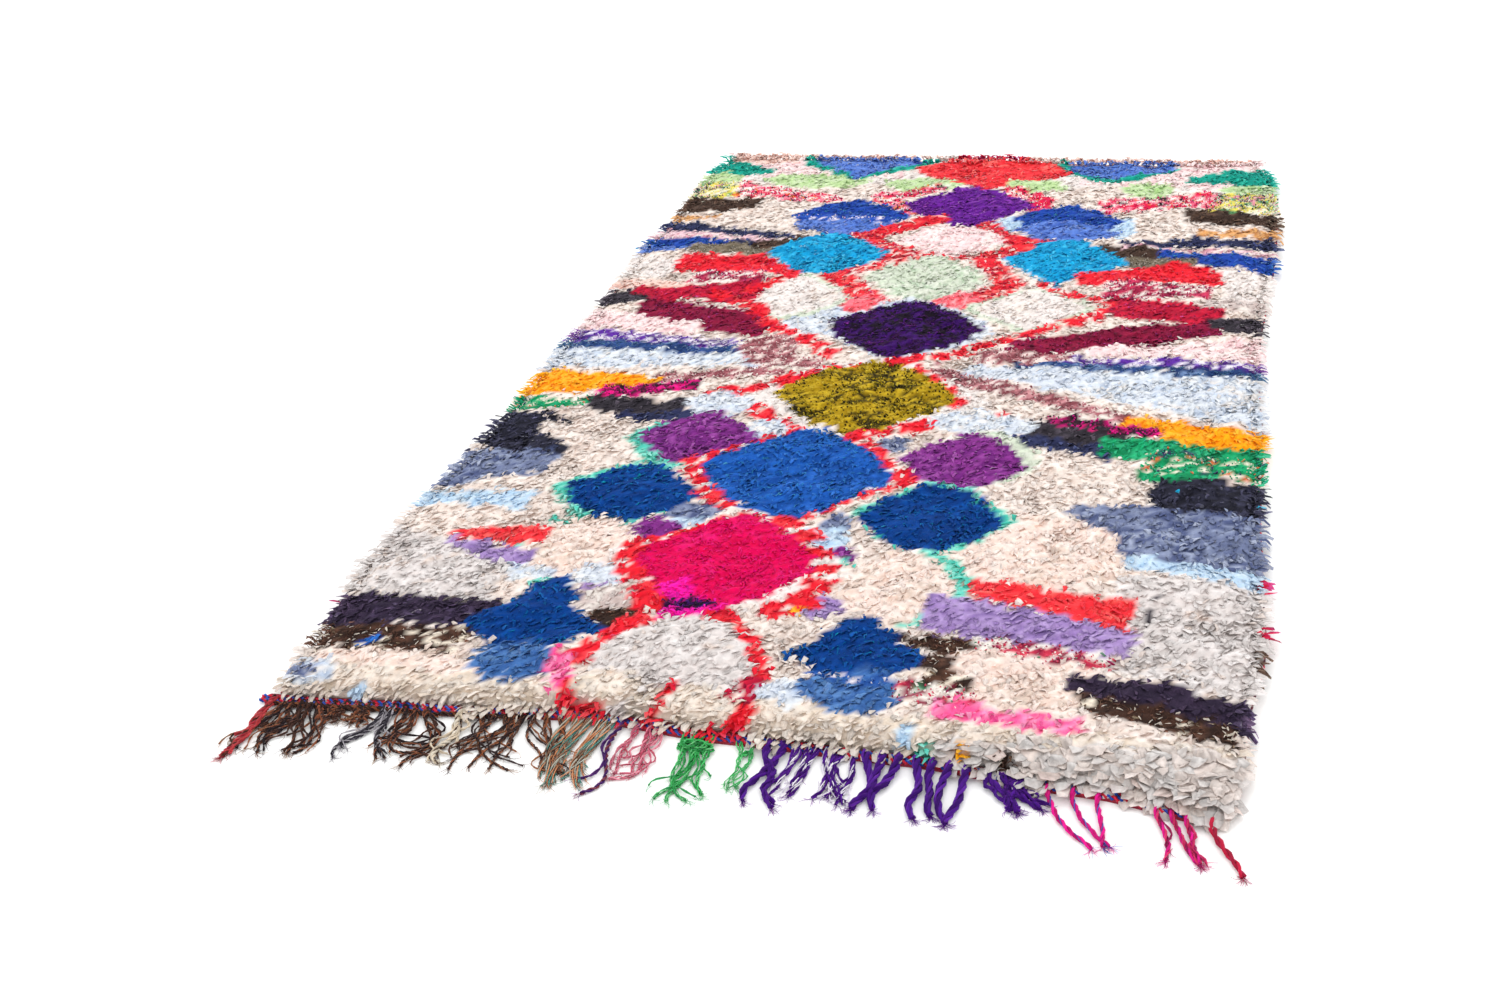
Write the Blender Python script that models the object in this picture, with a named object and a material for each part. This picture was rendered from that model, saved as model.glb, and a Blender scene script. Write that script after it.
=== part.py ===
# Boucherouite rug: rag tufts knotted on a woven ground, lying flat, with a fringed heading at its near end.
# Metres, +Z up. X runs across the rug and +Y from the fringed end to the plain end. The floor is z = 0.
# The origin is on the floor, under the middle of the rug's nominal rectangle.

import math
import random
from collections import namedtuple

import bmesh
import bpy
from mathutils import Vector, noise

# Nominal half sizes of the pile, which the two outline tables wander about
HALF_WIDTH = 0.690
HALF_LENGTH = 1.250

# Heights of the shag slab: selvedge, the band that the rim's locks grow from, and the pile
SELVEDGE_TOP = 0.006
LOCK_BOTTOM = 0.0095
LOCK_TOP = 0.0205
PILE_HEIGHT = 0.027
LUMP_HEIGHT = 0.011
LUMP_SPACING = 0.093
TUFT_HEIGHT = 0.009
TUFT_SPACING = 0.031
LUMP_LAYER = 0.0
TUFT_LAYER = 7.5

# The selvedge is the ground weave's own edge, which shows past the pile on the sides and at the far end
SELVEDGE_REACH = 0.010
SELVEDGE_GRIP = 0.004

# The slab's top has a cell for each lock across and along the rim
CELLS_ACROSS = 36
CELLS_ALONG = 66

# The underside's middle face, which the rest of the underside runs round: half width, near and far reach
REST_FACE_HALF_WIDTH = 0.50
REST_FACE_NEAR = -0.90
REST_FACE_FAR = 1.05

# A lock is a tapered tuft at the rim
LOCK_REACH = (0.010, 0.022)
LOCK_TIP_WIDTH = 0.42
LOCK_TIP_HEIGHT = 0.45
LOCK_SWAY = 0.006
LOCK_DROOP = 0.0015
LOCK_SEED = 41

# The near heading: a narrow woven strip that carries the fringe
HEADING_WIDTH = 0.022
HEADING_THICKNESS = 0.005
HEADING_GAP = 0.0005
HEADING_END_INSET = 0.001
CUT_SPACING = 0.001
FACES_NEAR_END = -0.9

# A fringe strand: its steps, its taper, and the wave that it lies in
STRAND_STEPS = 6
STRAND_HEIGHT = 0.005
STRAND_TIP = 0.50
STRAND_WAVE = 0.0035
STRAND_WAVE_LENGTH = 0.062
STRAND_WAVE_DRIFT = 9.0
STRAND_UNEVEN = 0.10
STRAND_LEAN_CURVE = 1.5
STRAND_SEED = 17

# Cloth colours, linear
RAG_COLOUR = (0.68, 0.60, 0.52)
YARN_COLOUR = (0.16, 0.05, 0.12)

# Where the pile's wall stands at each distance along the rug
SideRow = namedtuple("SideRow", "at left right")
SIDES = (
    SideRow(-1.30, -0.682, 0.684),
    SideRow(-1.10, -0.680, 0.694),
    SideRow(-0.90, -0.704, 0.712),
    SideRow(-0.70, -0.706, 0.702),
    SideRow(-0.50, -0.694, 0.694),
    SideRow(-0.25, -0.686, 0.692),
    SideRow(0.00, -0.694, 0.680),
    SideRow(0.20, -0.690, 0.676),
    SideRow(0.40, -0.695, 0.684),
    SideRow(0.60, -0.705, 0.694),
    SideRow(0.80, -0.690, 0.697),
    SideRow(1.10, -0.702, 0.682),
    SideRow(1.27, -0.680, 0.652),
)

# Where it stands at each distance across the rug
EndRow = namedtuple("EndRow", "at near far")
ENDS = (
    EndRow(-0.69, -1.245, 1.262),
    EndRow(-0.45, -1.230, 1.258),
    EndRow(-0.20, -1.210, 1.262),
    EndRow(0.00, -1.228, 1.268),
    EndRow(0.25, -1.236, 1.258),
    EndRow(0.50, -1.262, 1.254),
    EndRow(0.69, -1.296, 1.262),
)

# The fringe, a row for each bundle of like yarn: its first and last root across the rug, how many strands,
# how far they reach past the heading, how far their tips lean to +X, and their width
Bundle = namedtuple("Bundle", "yarn first last count reach lean width")
FRINGE = (
    Bundle("madder tassel", -0.682, -0.682, 1, 0.123, -0.016, 0.013),
    Bundle("brown twist", -0.662, -0.608, 5, 0.096, 0.004, 0.009),
    Bundle("brown knots", -0.586, -0.532, 4, 0.034, -0.014, 0.010),
    Bundle("grey twist", -0.509, -0.494, 2, 0.103, -0.002, 0.009),
    Bundle("brown twist", -0.476, -0.440, 3, 0.107, 0.012, 0.009),
    Bundle("ecru rag", -0.386, -0.386, 1, 0.093, -0.004, 0.012),
    Bundle("brown thin", -0.352, -0.246, 8, 0.105, 0.008, 0.008),
    Bundle("mixed bunch", -0.228, -0.162, 7, 0.133, -0.002, 0.0075),
    Bundle("violet twist", -0.144, -0.144, 1, 0.135, 0.010, 0.009),
    Bundle("rose yarn", -0.122, -0.090, 3, 0.095, 0.018, 0.009),
    Bundle("green yarn", -0.052, -0.010, 4, 0.118, 0.008, 0.009),
    Bundle("green thin", 0.030, 0.050, 2, 0.090, 0.008, 0.007),
    Bundle("purple yarn", 0.072, 0.090, 2, 0.110, 0.012, 0.009),
    Bundle("purple and white", 0.112, 0.190, 7, 0.082, 0.010, 0.008),
    Bundle("purple rope", 0.206, 0.346, 7, 0.093, 0.010, 0.012),
    Bundle("purple short", 0.374, 0.420, 3, 0.042, 0.016, 0.011),
    Bundle("magenta rope", 0.452, 0.520, 3, 0.088, 0.042, 0.010),
    Bundle("magenta bunch", 0.592, 0.630, 3, 0.076, 0.040, 0.010),
    Bundle("madder rope", 0.662, 0.662, 1, 0.092, 0.046, 0.012),
)


def clear_scene():
    for thing in list(bpy.data.objects):
        bpy.data.objects.remove(thing)


def cloth_material(name, colour, roughness):
    material = bpy.data.materials.new(name)
    material.use_nodes = True
    shader = material.node_tree.nodes["Principled BSDF"]
    shader.inputs["Base Color"].default_value = (*colour, 1.0)
    shader.inputs["Roughness"].default_value = roughness
    shader.inputs["Metallic"].default_value = 0.0
    return material


def wandering(rows, column, at):
    # The value in a table's column at a place between its rows, eased from row to row
    if at <= rows[0].at:
        return getattr(rows[0], column)
    for low, high in zip(rows, rows[1:]):
        if at <= high.at:
            share = (at - low.at) / (high.at - low.at)
            ease = (1 - math.cos(math.pi * share)) / 2
            return getattr(low, column) * (1 - ease) + getattr(high, column) * ease
    return getattr(rows[-1], column)


def pile_point(across, along):
    # A point of the pile's outline sheet, from shares 0 to 1 across and along the rug
    nominal = -HALF_WIDTH + 2 * HALF_WIDTH * across
    near, far = wandering(ENDS, "near", nominal), wandering(ENDS, "far", nominal)
    y = near + (far - near) * along
    left, right = wandering(SIDES, "left", y), wandering(SIDES, "right", y)
    return left + (right - left) * across, y


def pile_top(x, y):
    lump = noise.noise(Vector((x / LUMP_SPACING, y / LUMP_SPACING, LUMP_LAYER)))
    tuft = noise.noise(Vector((x / TUFT_SPACING, y / TUFT_SPACING, TUFT_LAYER)))
    return PILE_HEIGHT + LUMP_HEIGHT * lump + TUFT_HEIGHT * tuft


def object_from(bm, name, material):
    bmesh.ops.recalc_face_normals(bm, faces=bm.faces)
    mesh = bpy.data.meshes.new(name)
    bm.to_mesh(mesh)
    bm.free()
    mesh.materials.append(material)
    thing = bpy.data.objects.new(name, mesh)
    bpy.context.scene.collection.objects.link(thing)
    return thing


def skirt(bm, edges, place):
    # Extrudes the rim's edges and puts each new corner where place says; returns the new edges and faces
    made = bmesh.ops.extrude_edge_only(bm, edges=edges)["geom"]
    for corner in [item for item in made if isinstance(item, bmesh.types.BMVert)]:
        corner.co = place(corner.co)
    rim = [item for item in made if isinstance(item, bmesh.types.BMEdge)]
    faces = [item for item in made if isinstance(item, bmesh.types.BMFace)]
    return rim, faces


def outer_edges(edges):
    # Of the edges that an extrusion made, those of the new rim, which only one face uses
    return [edge for edge in edges if len(edge.link_faces) == 1]


def selvedge_place(point):
    # Steps a rim corner out to the selvedge's edge; the near end has none, because the heading meets it there
    x, y = point.x, point.y
    nearest = max(-HALF_WIDTH, min(HALF_WIDTH, x))
    left, right = wandering(SIDES, "left", y), wandering(SIDES, "right", y)
    at_side = min(abs(x - left), abs(x - right)) < SELVEDGE_GRIP
    at_near = abs(y - wandering(ENDS, "near", nearest)) < SELVEDGE_GRIP
    at_far = abs(y - wandering(ENDS, "far", nearest)) < SELVEDGE_GRIP
    step_x = math.copysign(SELVEDGE_REACH, x) if at_side and not at_near else 0.0
    step_y = SELVEDGE_REACH if at_far else 0.0
    return Vector((x + step_x, y + step_y, SELVEDGE_TOP))


def grow_locks(bm, roots):
    # Draws each face of the rim's band out into a tapered lock
    spread = random.Random(LOCK_SEED)
    grown = bmesh.ops.extrude_discrete_faces(bm, faces=roots)["faces"]
    for face in sorted(grown, key=lambda face: tuple(face.calc_center_median())):
        middle = face.calc_center_median()
        outward = Vector((face.normal.x, face.normal.y, 0.0)).normalized()
        sideways = Vector((-outward.y, outward.x, 0.0))
        reach = spread.uniform(*LOCK_REACH)
        sway = sideways * spread.uniform(-LOCK_SWAY, LOCK_SWAY)
        droop = Vector((0.0, 0.0, -LOCK_DROOP * spread.random()))
        for corner in face.verts:
            from_middle = corner.co - middle
            across = sideways * from_middle.dot(sideways) * LOCK_TIP_WIDTH
            upward = Vector((0.0, 0.0, from_middle.z * LOCK_TIP_HEIGHT))
            corner.co = middle + outward * reach + sway + droop + across + upward


def close_underside(bm, rim):
    # Closes the flat underside round one large middle face, which holds the origin
    near_left = bm.verts.new((-REST_FACE_HALF_WIDTH, REST_FACE_NEAR, 0.0))
    near_right = bm.verts.new((REST_FACE_HALF_WIDTH, REST_FACE_NEAR, 0.0))
    far_middle = bm.verts.new((0.0, REST_FACE_FAR, 0.0))
    rest_face = bm.faces.new((near_left, near_right, far_middle))
    bmesh.ops.triangle_fill(bm, use_beauty=False, edges=rim + list(rest_face.edges), normal=(0.0, 0.0, -1.0))


def make_pile():
    bm = bmesh.new()
    bmesh.ops.create_grid(bm, x_segments=CELLS_ACROSS, y_segments=CELLS_ALONG, size=1.0)
    on_rim = {corner for corner in bm.verts if corner.is_boundary}
    for corner in bm.verts:
        x, y = pile_point((corner.co.x + 1) / 2, (corner.co.y + 1) / 2)
        corner.co = (x, y, LOCK_TOP if corner in on_rim else pile_top(x, y))
    rim = [edge for edge in bm.edges if edge.is_boundary]
    made, band = skirt(bm, rim, lambda point: Vector((point.x, point.y, LOCK_BOTTOM)))
    rim = outer_edges(made)
    made, _ = skirt(bm, rim, selvedge_place)
    rim = outer_edges(made)
    made, _ = skirt(bm, rim, lambda point: Vector((point.x, point.y, 0.0)))
    close_underside(bm, outer_edges(made))
    bmesh.ops.recalc_face_normals(bm, faces=bm.faces)
    grow_locks(bm, band)
    material = cloth_material("ivory_rag_pile", RAG_COLOUR, 0.95)
    return object_from(bm, "rug_pile", material)


def near_wall(x):
    # Where the slab's near wall stands at x, which is straight from corner to corner of its cells
    points = [pile_point(cell / CELLS_ACROSS, 0.0) for cell in range(CELLS_ACROSS + 1)]
    for (low_x, low_y), (high_x, high_y) in zip(points, points[1:]):
        if x <= high_x:
            share = max(0.0, (x - low_x) / (high_x - low_x))
            return low_y + (high_y - low_y) * share
    return points[-1][1]


def strands():
    # Every strand of the fringe as (root x, bundle)
    for bundle in FRINGE:
        for index in range(bundle.count):
            share = index / max(1, bundle.count - 1)
            yield bundle.first + (bundle.last - bundle.first) * share, bundle


def heading_stations():
    # The strip's cross cuts: its ends, both sides of each strand's root, and the corners of the slab's wall
    left = wandering(SIDES, "left", -HALF_LENGTH) + HEADING_END_INSET
    right = wandering(SIDES, "right", -HALF_LENGTH) - HEADING_END_INSET
    roots = [(root - bundle.width / 2, root + bundle.width / 2) for root, bundle in strands()]
    corners = [pile_point(cell / CELLS_ACROSS, 0.0)[0] for cell in range(1, CELLS_ACROSS)]
    cuts = [x for x in corners if not any(low - CUT_SPACING < x < high + CUT_SPACING for low, high in roots)]
    return sorted([left, right, *cuts, *(side for sides in roots for side in sides)])


def cross_cut(x):
    # The strip's corners at x, as front low, back low, back high, front high
    back = near_wall(x) - HEADING_GAP
    front = back - HEADING_WIDTH
    corners = ((front, 0.0), (back, 0.0), (back, HEADING_THICKNESS), (front, HEADING_THICKNESS))
    return [Vector((x, y, z)) for y, z in corners]


def make_heading_strip(bm):
    # Draws a cross cut of the strip along its stations, and returns its front face at each strand's root
    cuts = heading_stations()
    end = bm.faces.new([bm.verts.new(point) for point in cross_cut(cuts[0])])
    for x in cuts[1:]:
        end = bmesh.ops.extrude_discrete_faces(bm, faces=[end])["faces"][0]
        for corner, place in zip(ordered(end), cross_cut(x)):
            corner.co = place
    bmesh.ops.holes_fill(bm, edges=[edge for edge in bm.edges if edge.is_boundary])
    bmesh.ops.recalc_face_normals(bm, faces=bm.faces)
    bm.normal_update()
    fronts = [face for face in bm.faces if face.normal.y < FACES_NEAR_END]
    roots = []
    for root, bundle in strands():
        at_root = min(fronts, key=lambda face: abs(face.calc_center_median().x - root))
        roots.append((at_root, root, bundle))
    return roots


def ordered(face):
    # A cross cut's corners as front low, back low, back high, front high
    middle = face.calc_center_median()
    low = sorted((corner for corner in face.verts if corner.co.z < middle.z), key=lambda corner: corner.co.y)
    high = sorted((corner for corner in face.verts if corner.co.z > middle.z), key=lambda corner: corner.co.y)
    return [low[0], low[1], high[1], high[0]]


def strand_line(root, bundle, reach):
    # The strand's middle line on the floor: it leaves the heading square, leans over and waves a little
    front = near_wall(root) - HEADING_GAP - HEADING_WIDTH
    line = []
    for step in range(STRAND_STEPS + 1):
        share = step / STRAND_STEPS
        phase = 2 * math.pi * reach * share / STRAND_WAVE_LENGTH + STRAND_WAVE_DRIFT * root
        wave = STRAND_WAVE * share * math.sin(phase)
        lean = bundle.lean * share ** STRAND_LEAN_CURVE
        line.append(Vector((root + lean + wave, front - reach * share, 0.0)))
    return line


def grow_strand(bm, face, root, bundle, reach):
    # Draws the strip's front face out along the strand's line, flat on the floor and tapering
    line = strand_line(root, bundle, reach)
    sideways, middle = Vector((1.0, 0.0, 0.0)), line[0]
    for step in range(1, STRAND_STEPS + 1):
        share = step / STRAND_STEPS
        size = 1 - (1 - STRAND_TIP) * share
        ahead = line[min(step + 1, STRAND_STEPS)] - line[step - 1]
        next_sideways = Vector((-ahead.y, ahead.x, 0.0)).normalized()
        grown = bmesh.ops.extrude_discrete_faces(bm, faces=[face])["faces"][0]
        for corner in grown.verts:
            side = math.copysign(bundle.width / 2, (corner.co - middle).dot(sideways))
            height = STRAND_HEIGHT * size if corner.co.z > STRAND_HEIGHT * STRAND_TIP / 2 else 0.0
            corner.co = line[step] + next_sideways * side * size + Vector((0.0, 0.0, height))
        face, sideways, middle = grown, next_sideways, line[step]


def make_fringed_heading():
    bm = bmesh.new()
    uneven = random.Random(STRAND_SEED)
    for face, root, bundle in make_heading_strip(bm):
        reach = bundle.reach * uneven.uniform(1 - STRAND_UNEVEN, 1 + STRAND_UNEVEN)
        grow_strand(bm, face, root, bundle, reach)
    material = cloth_material("dark_warp_yarn", YARN_COLOUR, 0.9)
    return object_from(bm, "fringed_heading", material)


clear_scene()
make_pile()
make_fringed_heading()
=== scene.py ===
import math
import random
from collections import namedtuple

import bmesh
import bpy
import numpy as np
from mathutils import Matrix, Vector, noise


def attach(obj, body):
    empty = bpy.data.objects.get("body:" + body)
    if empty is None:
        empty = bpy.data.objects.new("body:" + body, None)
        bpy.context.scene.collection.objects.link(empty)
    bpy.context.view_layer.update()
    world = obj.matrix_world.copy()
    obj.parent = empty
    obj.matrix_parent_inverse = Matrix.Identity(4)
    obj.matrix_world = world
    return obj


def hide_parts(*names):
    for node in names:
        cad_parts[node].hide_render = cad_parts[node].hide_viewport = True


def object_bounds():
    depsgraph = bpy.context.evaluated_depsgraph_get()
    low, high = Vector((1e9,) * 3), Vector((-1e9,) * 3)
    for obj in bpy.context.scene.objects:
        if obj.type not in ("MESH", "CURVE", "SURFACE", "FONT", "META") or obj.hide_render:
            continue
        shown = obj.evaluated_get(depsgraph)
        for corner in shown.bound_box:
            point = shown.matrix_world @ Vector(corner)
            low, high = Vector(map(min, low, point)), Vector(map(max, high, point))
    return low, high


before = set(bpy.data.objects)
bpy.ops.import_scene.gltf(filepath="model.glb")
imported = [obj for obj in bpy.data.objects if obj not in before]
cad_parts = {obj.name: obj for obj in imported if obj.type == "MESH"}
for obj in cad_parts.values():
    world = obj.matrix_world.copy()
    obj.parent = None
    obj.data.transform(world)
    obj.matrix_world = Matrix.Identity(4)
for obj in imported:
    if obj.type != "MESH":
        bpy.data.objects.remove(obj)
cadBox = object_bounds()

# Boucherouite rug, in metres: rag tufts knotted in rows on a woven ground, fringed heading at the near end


# Cloths of the pile: how each is cut, and the shades that its tufts are drawn from, with their shares
Cloth = namedtuple("Cloth", "cut shades")
cloths = {
    "cream": Cloth("flake", (("#ecdcd2", 5), ("#f3e6de", 4), ("#e2d1c6", 3), ("#d8c6bd", 2))),
    "greyWhite": Cloth("flake", (("#dcd3d0", 5), ("#e3dcda", 4), ("#d0c8c5", 3), ("#dfcfc6", 2))),
    "petalCream": Cloth("petal", (("#ddcfc8", 5), ("#d4cecb", 5), ("#e1d3cb", 3), ("#cdc5c1", 2),
                                  ("#dcc7bf", 1))),
    "nearCream": Cloth("flake", (("#e6d6c8", 5), ("#ebdfd3", 4), ("#ddccba", 3), ("#cbc0b6", 2))),
    "peachCream": Cloth("crumb", (("#f1dbd1", 5), ("#ecd3c6", 3), ("#f5e6dd", 3), ("#dbc5b7", 2))),
    "white": Cloth("crumb", (("#efe5e1", 5), ("#e4dbd6", 3), ("#eddfd6", 2))),
    "palePink": Cloth("crumb", (("#f8dcdc", 4), ("#f4d0d2", 2), ("#fae9e5", 3), ("#ebc0c4", 1))),
    "peach": Cloth("crumb", (("#f5c8ba", 4), ("#f2d4c9", 3), ("#ebb3a4", 1))),
    "red": Cloth("strip", (("#ee2231", 5), ("#de1a2d", 3), ("#f8434b", 2), ("#c21429", 1))),
    "scarlet": Cloth("strip", (("#f43c42", 5), ("#e92c37", 3), ("#fa645f", 2))),
    "crimson": Cloth("strip", (("#ae1434", 4), ("#c91b3a", 3), ("#8a102d", 2))),
    "maroon": Cloth("strip", (("#7c1236", 5), ("#92183d", 3), ("#5b0d27", 2))),
    "hotPink": Cloth("shred", (("#de0055", 6), ("#d3004a", 3), ("#e2146a", 2))),
    "fuchsia": Cloth("shred", (("#fa18aa", 4), ("#f4108c", 2), ("#ca108e", 1))),
    "cobalt": Cloth("strip", (("#1957af", 6), ("#12499a", 4), ("#2966c2", 2))),
    "deepBlue": Cloth("strip", (("#033c87", 6), ("#033276", 4), ("#0c4d9e", 2))),
    "denim": Cloth("flake", (("#3f6cab", 5), ("#355d9b", 3), ("#547eb9", 2))),
    "royal": Cloth("strip", (("#1b42a2", 5), ("#14358b", 3), ("#3056b2", 2))),
    "periwinkle": Cloth("strip", (("#5074c8", 5), ("#6485d4", 3), ("#3e5eb0", 2))),
    "turquoise": Cloth("strip", (("#129fd6", 5), ("#0e8bc0", 3), ("#34b3e2", 2))),
    "purple": Cloth("strip", (("#822f86", 5), ("#6d2376", 3), ("#97489b", 2))),
    "violet": Cloth("strip", (("#641d90", 5), ("#52147a", 4), ("#8136a6", 2))),
    "blackViolet": Cloth("shred", (("#2a0e35", 4), ("#380f60", 4), ("#170d1c", 4))),
    # The olive's two dark shades are partly darker yarn and partly painted shade of the gaps between its strands
    "olive": Cloth("fleck", (("#9b7d0e", 5), ("#c0a022", 3), ("#463a0b", 3), ("#201b09", 3))),
    "orange": Cloth("strip", (("#ff9f0e", 5), ("#ffb330", 3), ("#fb8c08", 2))),
    "teal": Cloth("strip", (("#14a08b", 5), ("#0f8577", 3), ("#31b9a0", 2))),
    "mintTeal": Cloth("strip", (("#52c6b1", 4), ("#80d9c6", 3), ("#3ab09b", 2))),
    "mint": Cloth("crumb", (("#ccd6c1", 5), ("#d8ddcd", 3), ("#b9cdb1", 2))),
    "lightGreen": Cloth("crumb", (("#b8d498", 5), ("#cbdeb2", 3), ("#a0c580", 2))),
    "lavender": Cloth("flake", (("#9f82bd", 5), ("#af95ca", 3), ("#8a70aa", 2))),
    "slate": Cloth("crumb", (("#6d7798", 5), ("#8791ae", 3), ("#4e587e", 4), ("#a1aac4", 2))),
    "lightBlue": Cloth("crumb", (("#b8d2ea", 5), ("#c8dcec", 3), ("#a1c2e0", 2))),
    "paleBlue": Cloth("crumb", (("#d3dae6", 5), ("#dfe4ea", 4), ("#c0cde0", 3), ("#e6e0dc", 2))),
    "navy": Cloth("strip", (("#2d3256", 5), ("#242846", 4), ("#3e4673", 2))),
    "brown": Cloth("yarn", (("#3e2820", 5), ("#2e1f1a", 5), ("#563a2e", 3), ("#ecdfcd", 3))),
    "darkBrown": Cloth("crumb", (("#46342c", 5), ("#372822", 4), ("#5d4639", 2))),
    "tan": Cloth("crumb", (("#d4965a", 4), ("#e3ab76", 2), ("#b27743", 2))),
    "oliveGrey": Cloth("fleck", (("#7d7160", 4), ("#625949", 3), ("#9e9282", 2))),
    "aubergine": Cloth("flake", (("#382c42", 5), ("#2a2134", 4), ("#493c57", 2))),
    "charcoal": Cloth("crumb", (("#38333b", 5), ("#2a262d", 4), ("#4d4550", 2))),
    "black": Cloth("strip", (("#292939", 5), ("#1c1c27", 3), ("#3b3b51", 2))),
    "roseFleck": Cloth("fleck", (("#ab666e", 4), ("#f1dcd6", 2), ("#7e4149", 4), ("#cc8a90", 3))),
    "crimsonFleck": Cloth("fleck", (("#d81d48", 4), ("#f8f2ea", 2), ("#f68aa0", 2), ("#2c1b25", 2),
                                    ("#f47c34", 1))),
    "maroonFleck": Cloth("fleck", (("#901d3e", 4), ("#f3e9e2", 2), ("#c93a5d", 2), ("#62132b", 2))),
    "magentaFleck": Cloth("fleck", (("#ea1480", 4), ("#2c1622", 4), ("#b50e66", 3))),
    "greenFleck": Cloth("fleck", (("#17a066", 6), ("#f0e6d2", 2), ("#117e4e", 4), ("#e06a3c", 1),
                                  ("#2c3652", 1))),
    "yellowFleck": Cloth("fleck", (("#ece6c8", 4), ("#e6d75c", 3), ("#26242e", 2), ("#5aa46d", 2),
                                   ("#e08fa0", 1))),
    "redFleck": Cloth("fleck", (("#cc3650", 4), ("#efe8e0", 4), ("#8c2140", 3), ("#4f7f62", 1))),
    "violetRow": Cloth("yarn", (("#5c2b9c", 5), ("#ede6f2", 3), ("#3c2272", 4), ("#7c58b8", 1))),
    "navyRow": Cloth("yarn", (("#304c88", 4), ("#203768", 4), ("#6c86b0", 2))),
    "pink": Cloth("crumb", (("#f85c99", 5), ("#f68db8", 3), ("#e03e7f", 2))),
    "coral": Cloth("strip", (("#f87582", 4), ("#f35563", 3), ("#f8a2a8", 2))),
    "pinkRow": Cloth("crumb", (("#e8bfc8", 4), ("#ecdcd7", 3), ("#d395a3", 2))),
    "blueRow": Cloth("fleck", (("#2c53ba", 6), ("#f3e6ee", 2), ("#2446a0", 3), ("#eea4b9", 1))),
    "denimRow": Cloth("fleck", (("#2c5aa8", 4), ("#efe6ea", 3), ("#244a90", 3))),
    "greyPink": Cloth("crumb", (("#d5c6c1", 4), ("#c5b2ad", 3), ("#e4dbd4", 2))),
    "redTweed": Cloth("strip", (("#ea2a36", 5), ("#d2192e", 3), ("#f56663", 2), ("#efc3bc", 2),
                                ("#a0162e", 1))),
    "green": Cloth("strip", (("#119a61", 5), ("#0d7e4f", 3), ("#2db17a", 2))),
}

# Shapes of the chart, in metres on the rug. Later rows cover earlier ones. A band can be broken into knots
Lozenge = namedtuple("Lozenge", "cloth x y wide high lean round", defaults=(0.0, 1.15))
Stripe = namedtuple("Stripe", "cloth outer inner outerLow outerHigh innerLow innerHigh")
Band = namedtuple("Band", "cloth width corners pitch", defaults=(0.0,))

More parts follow.
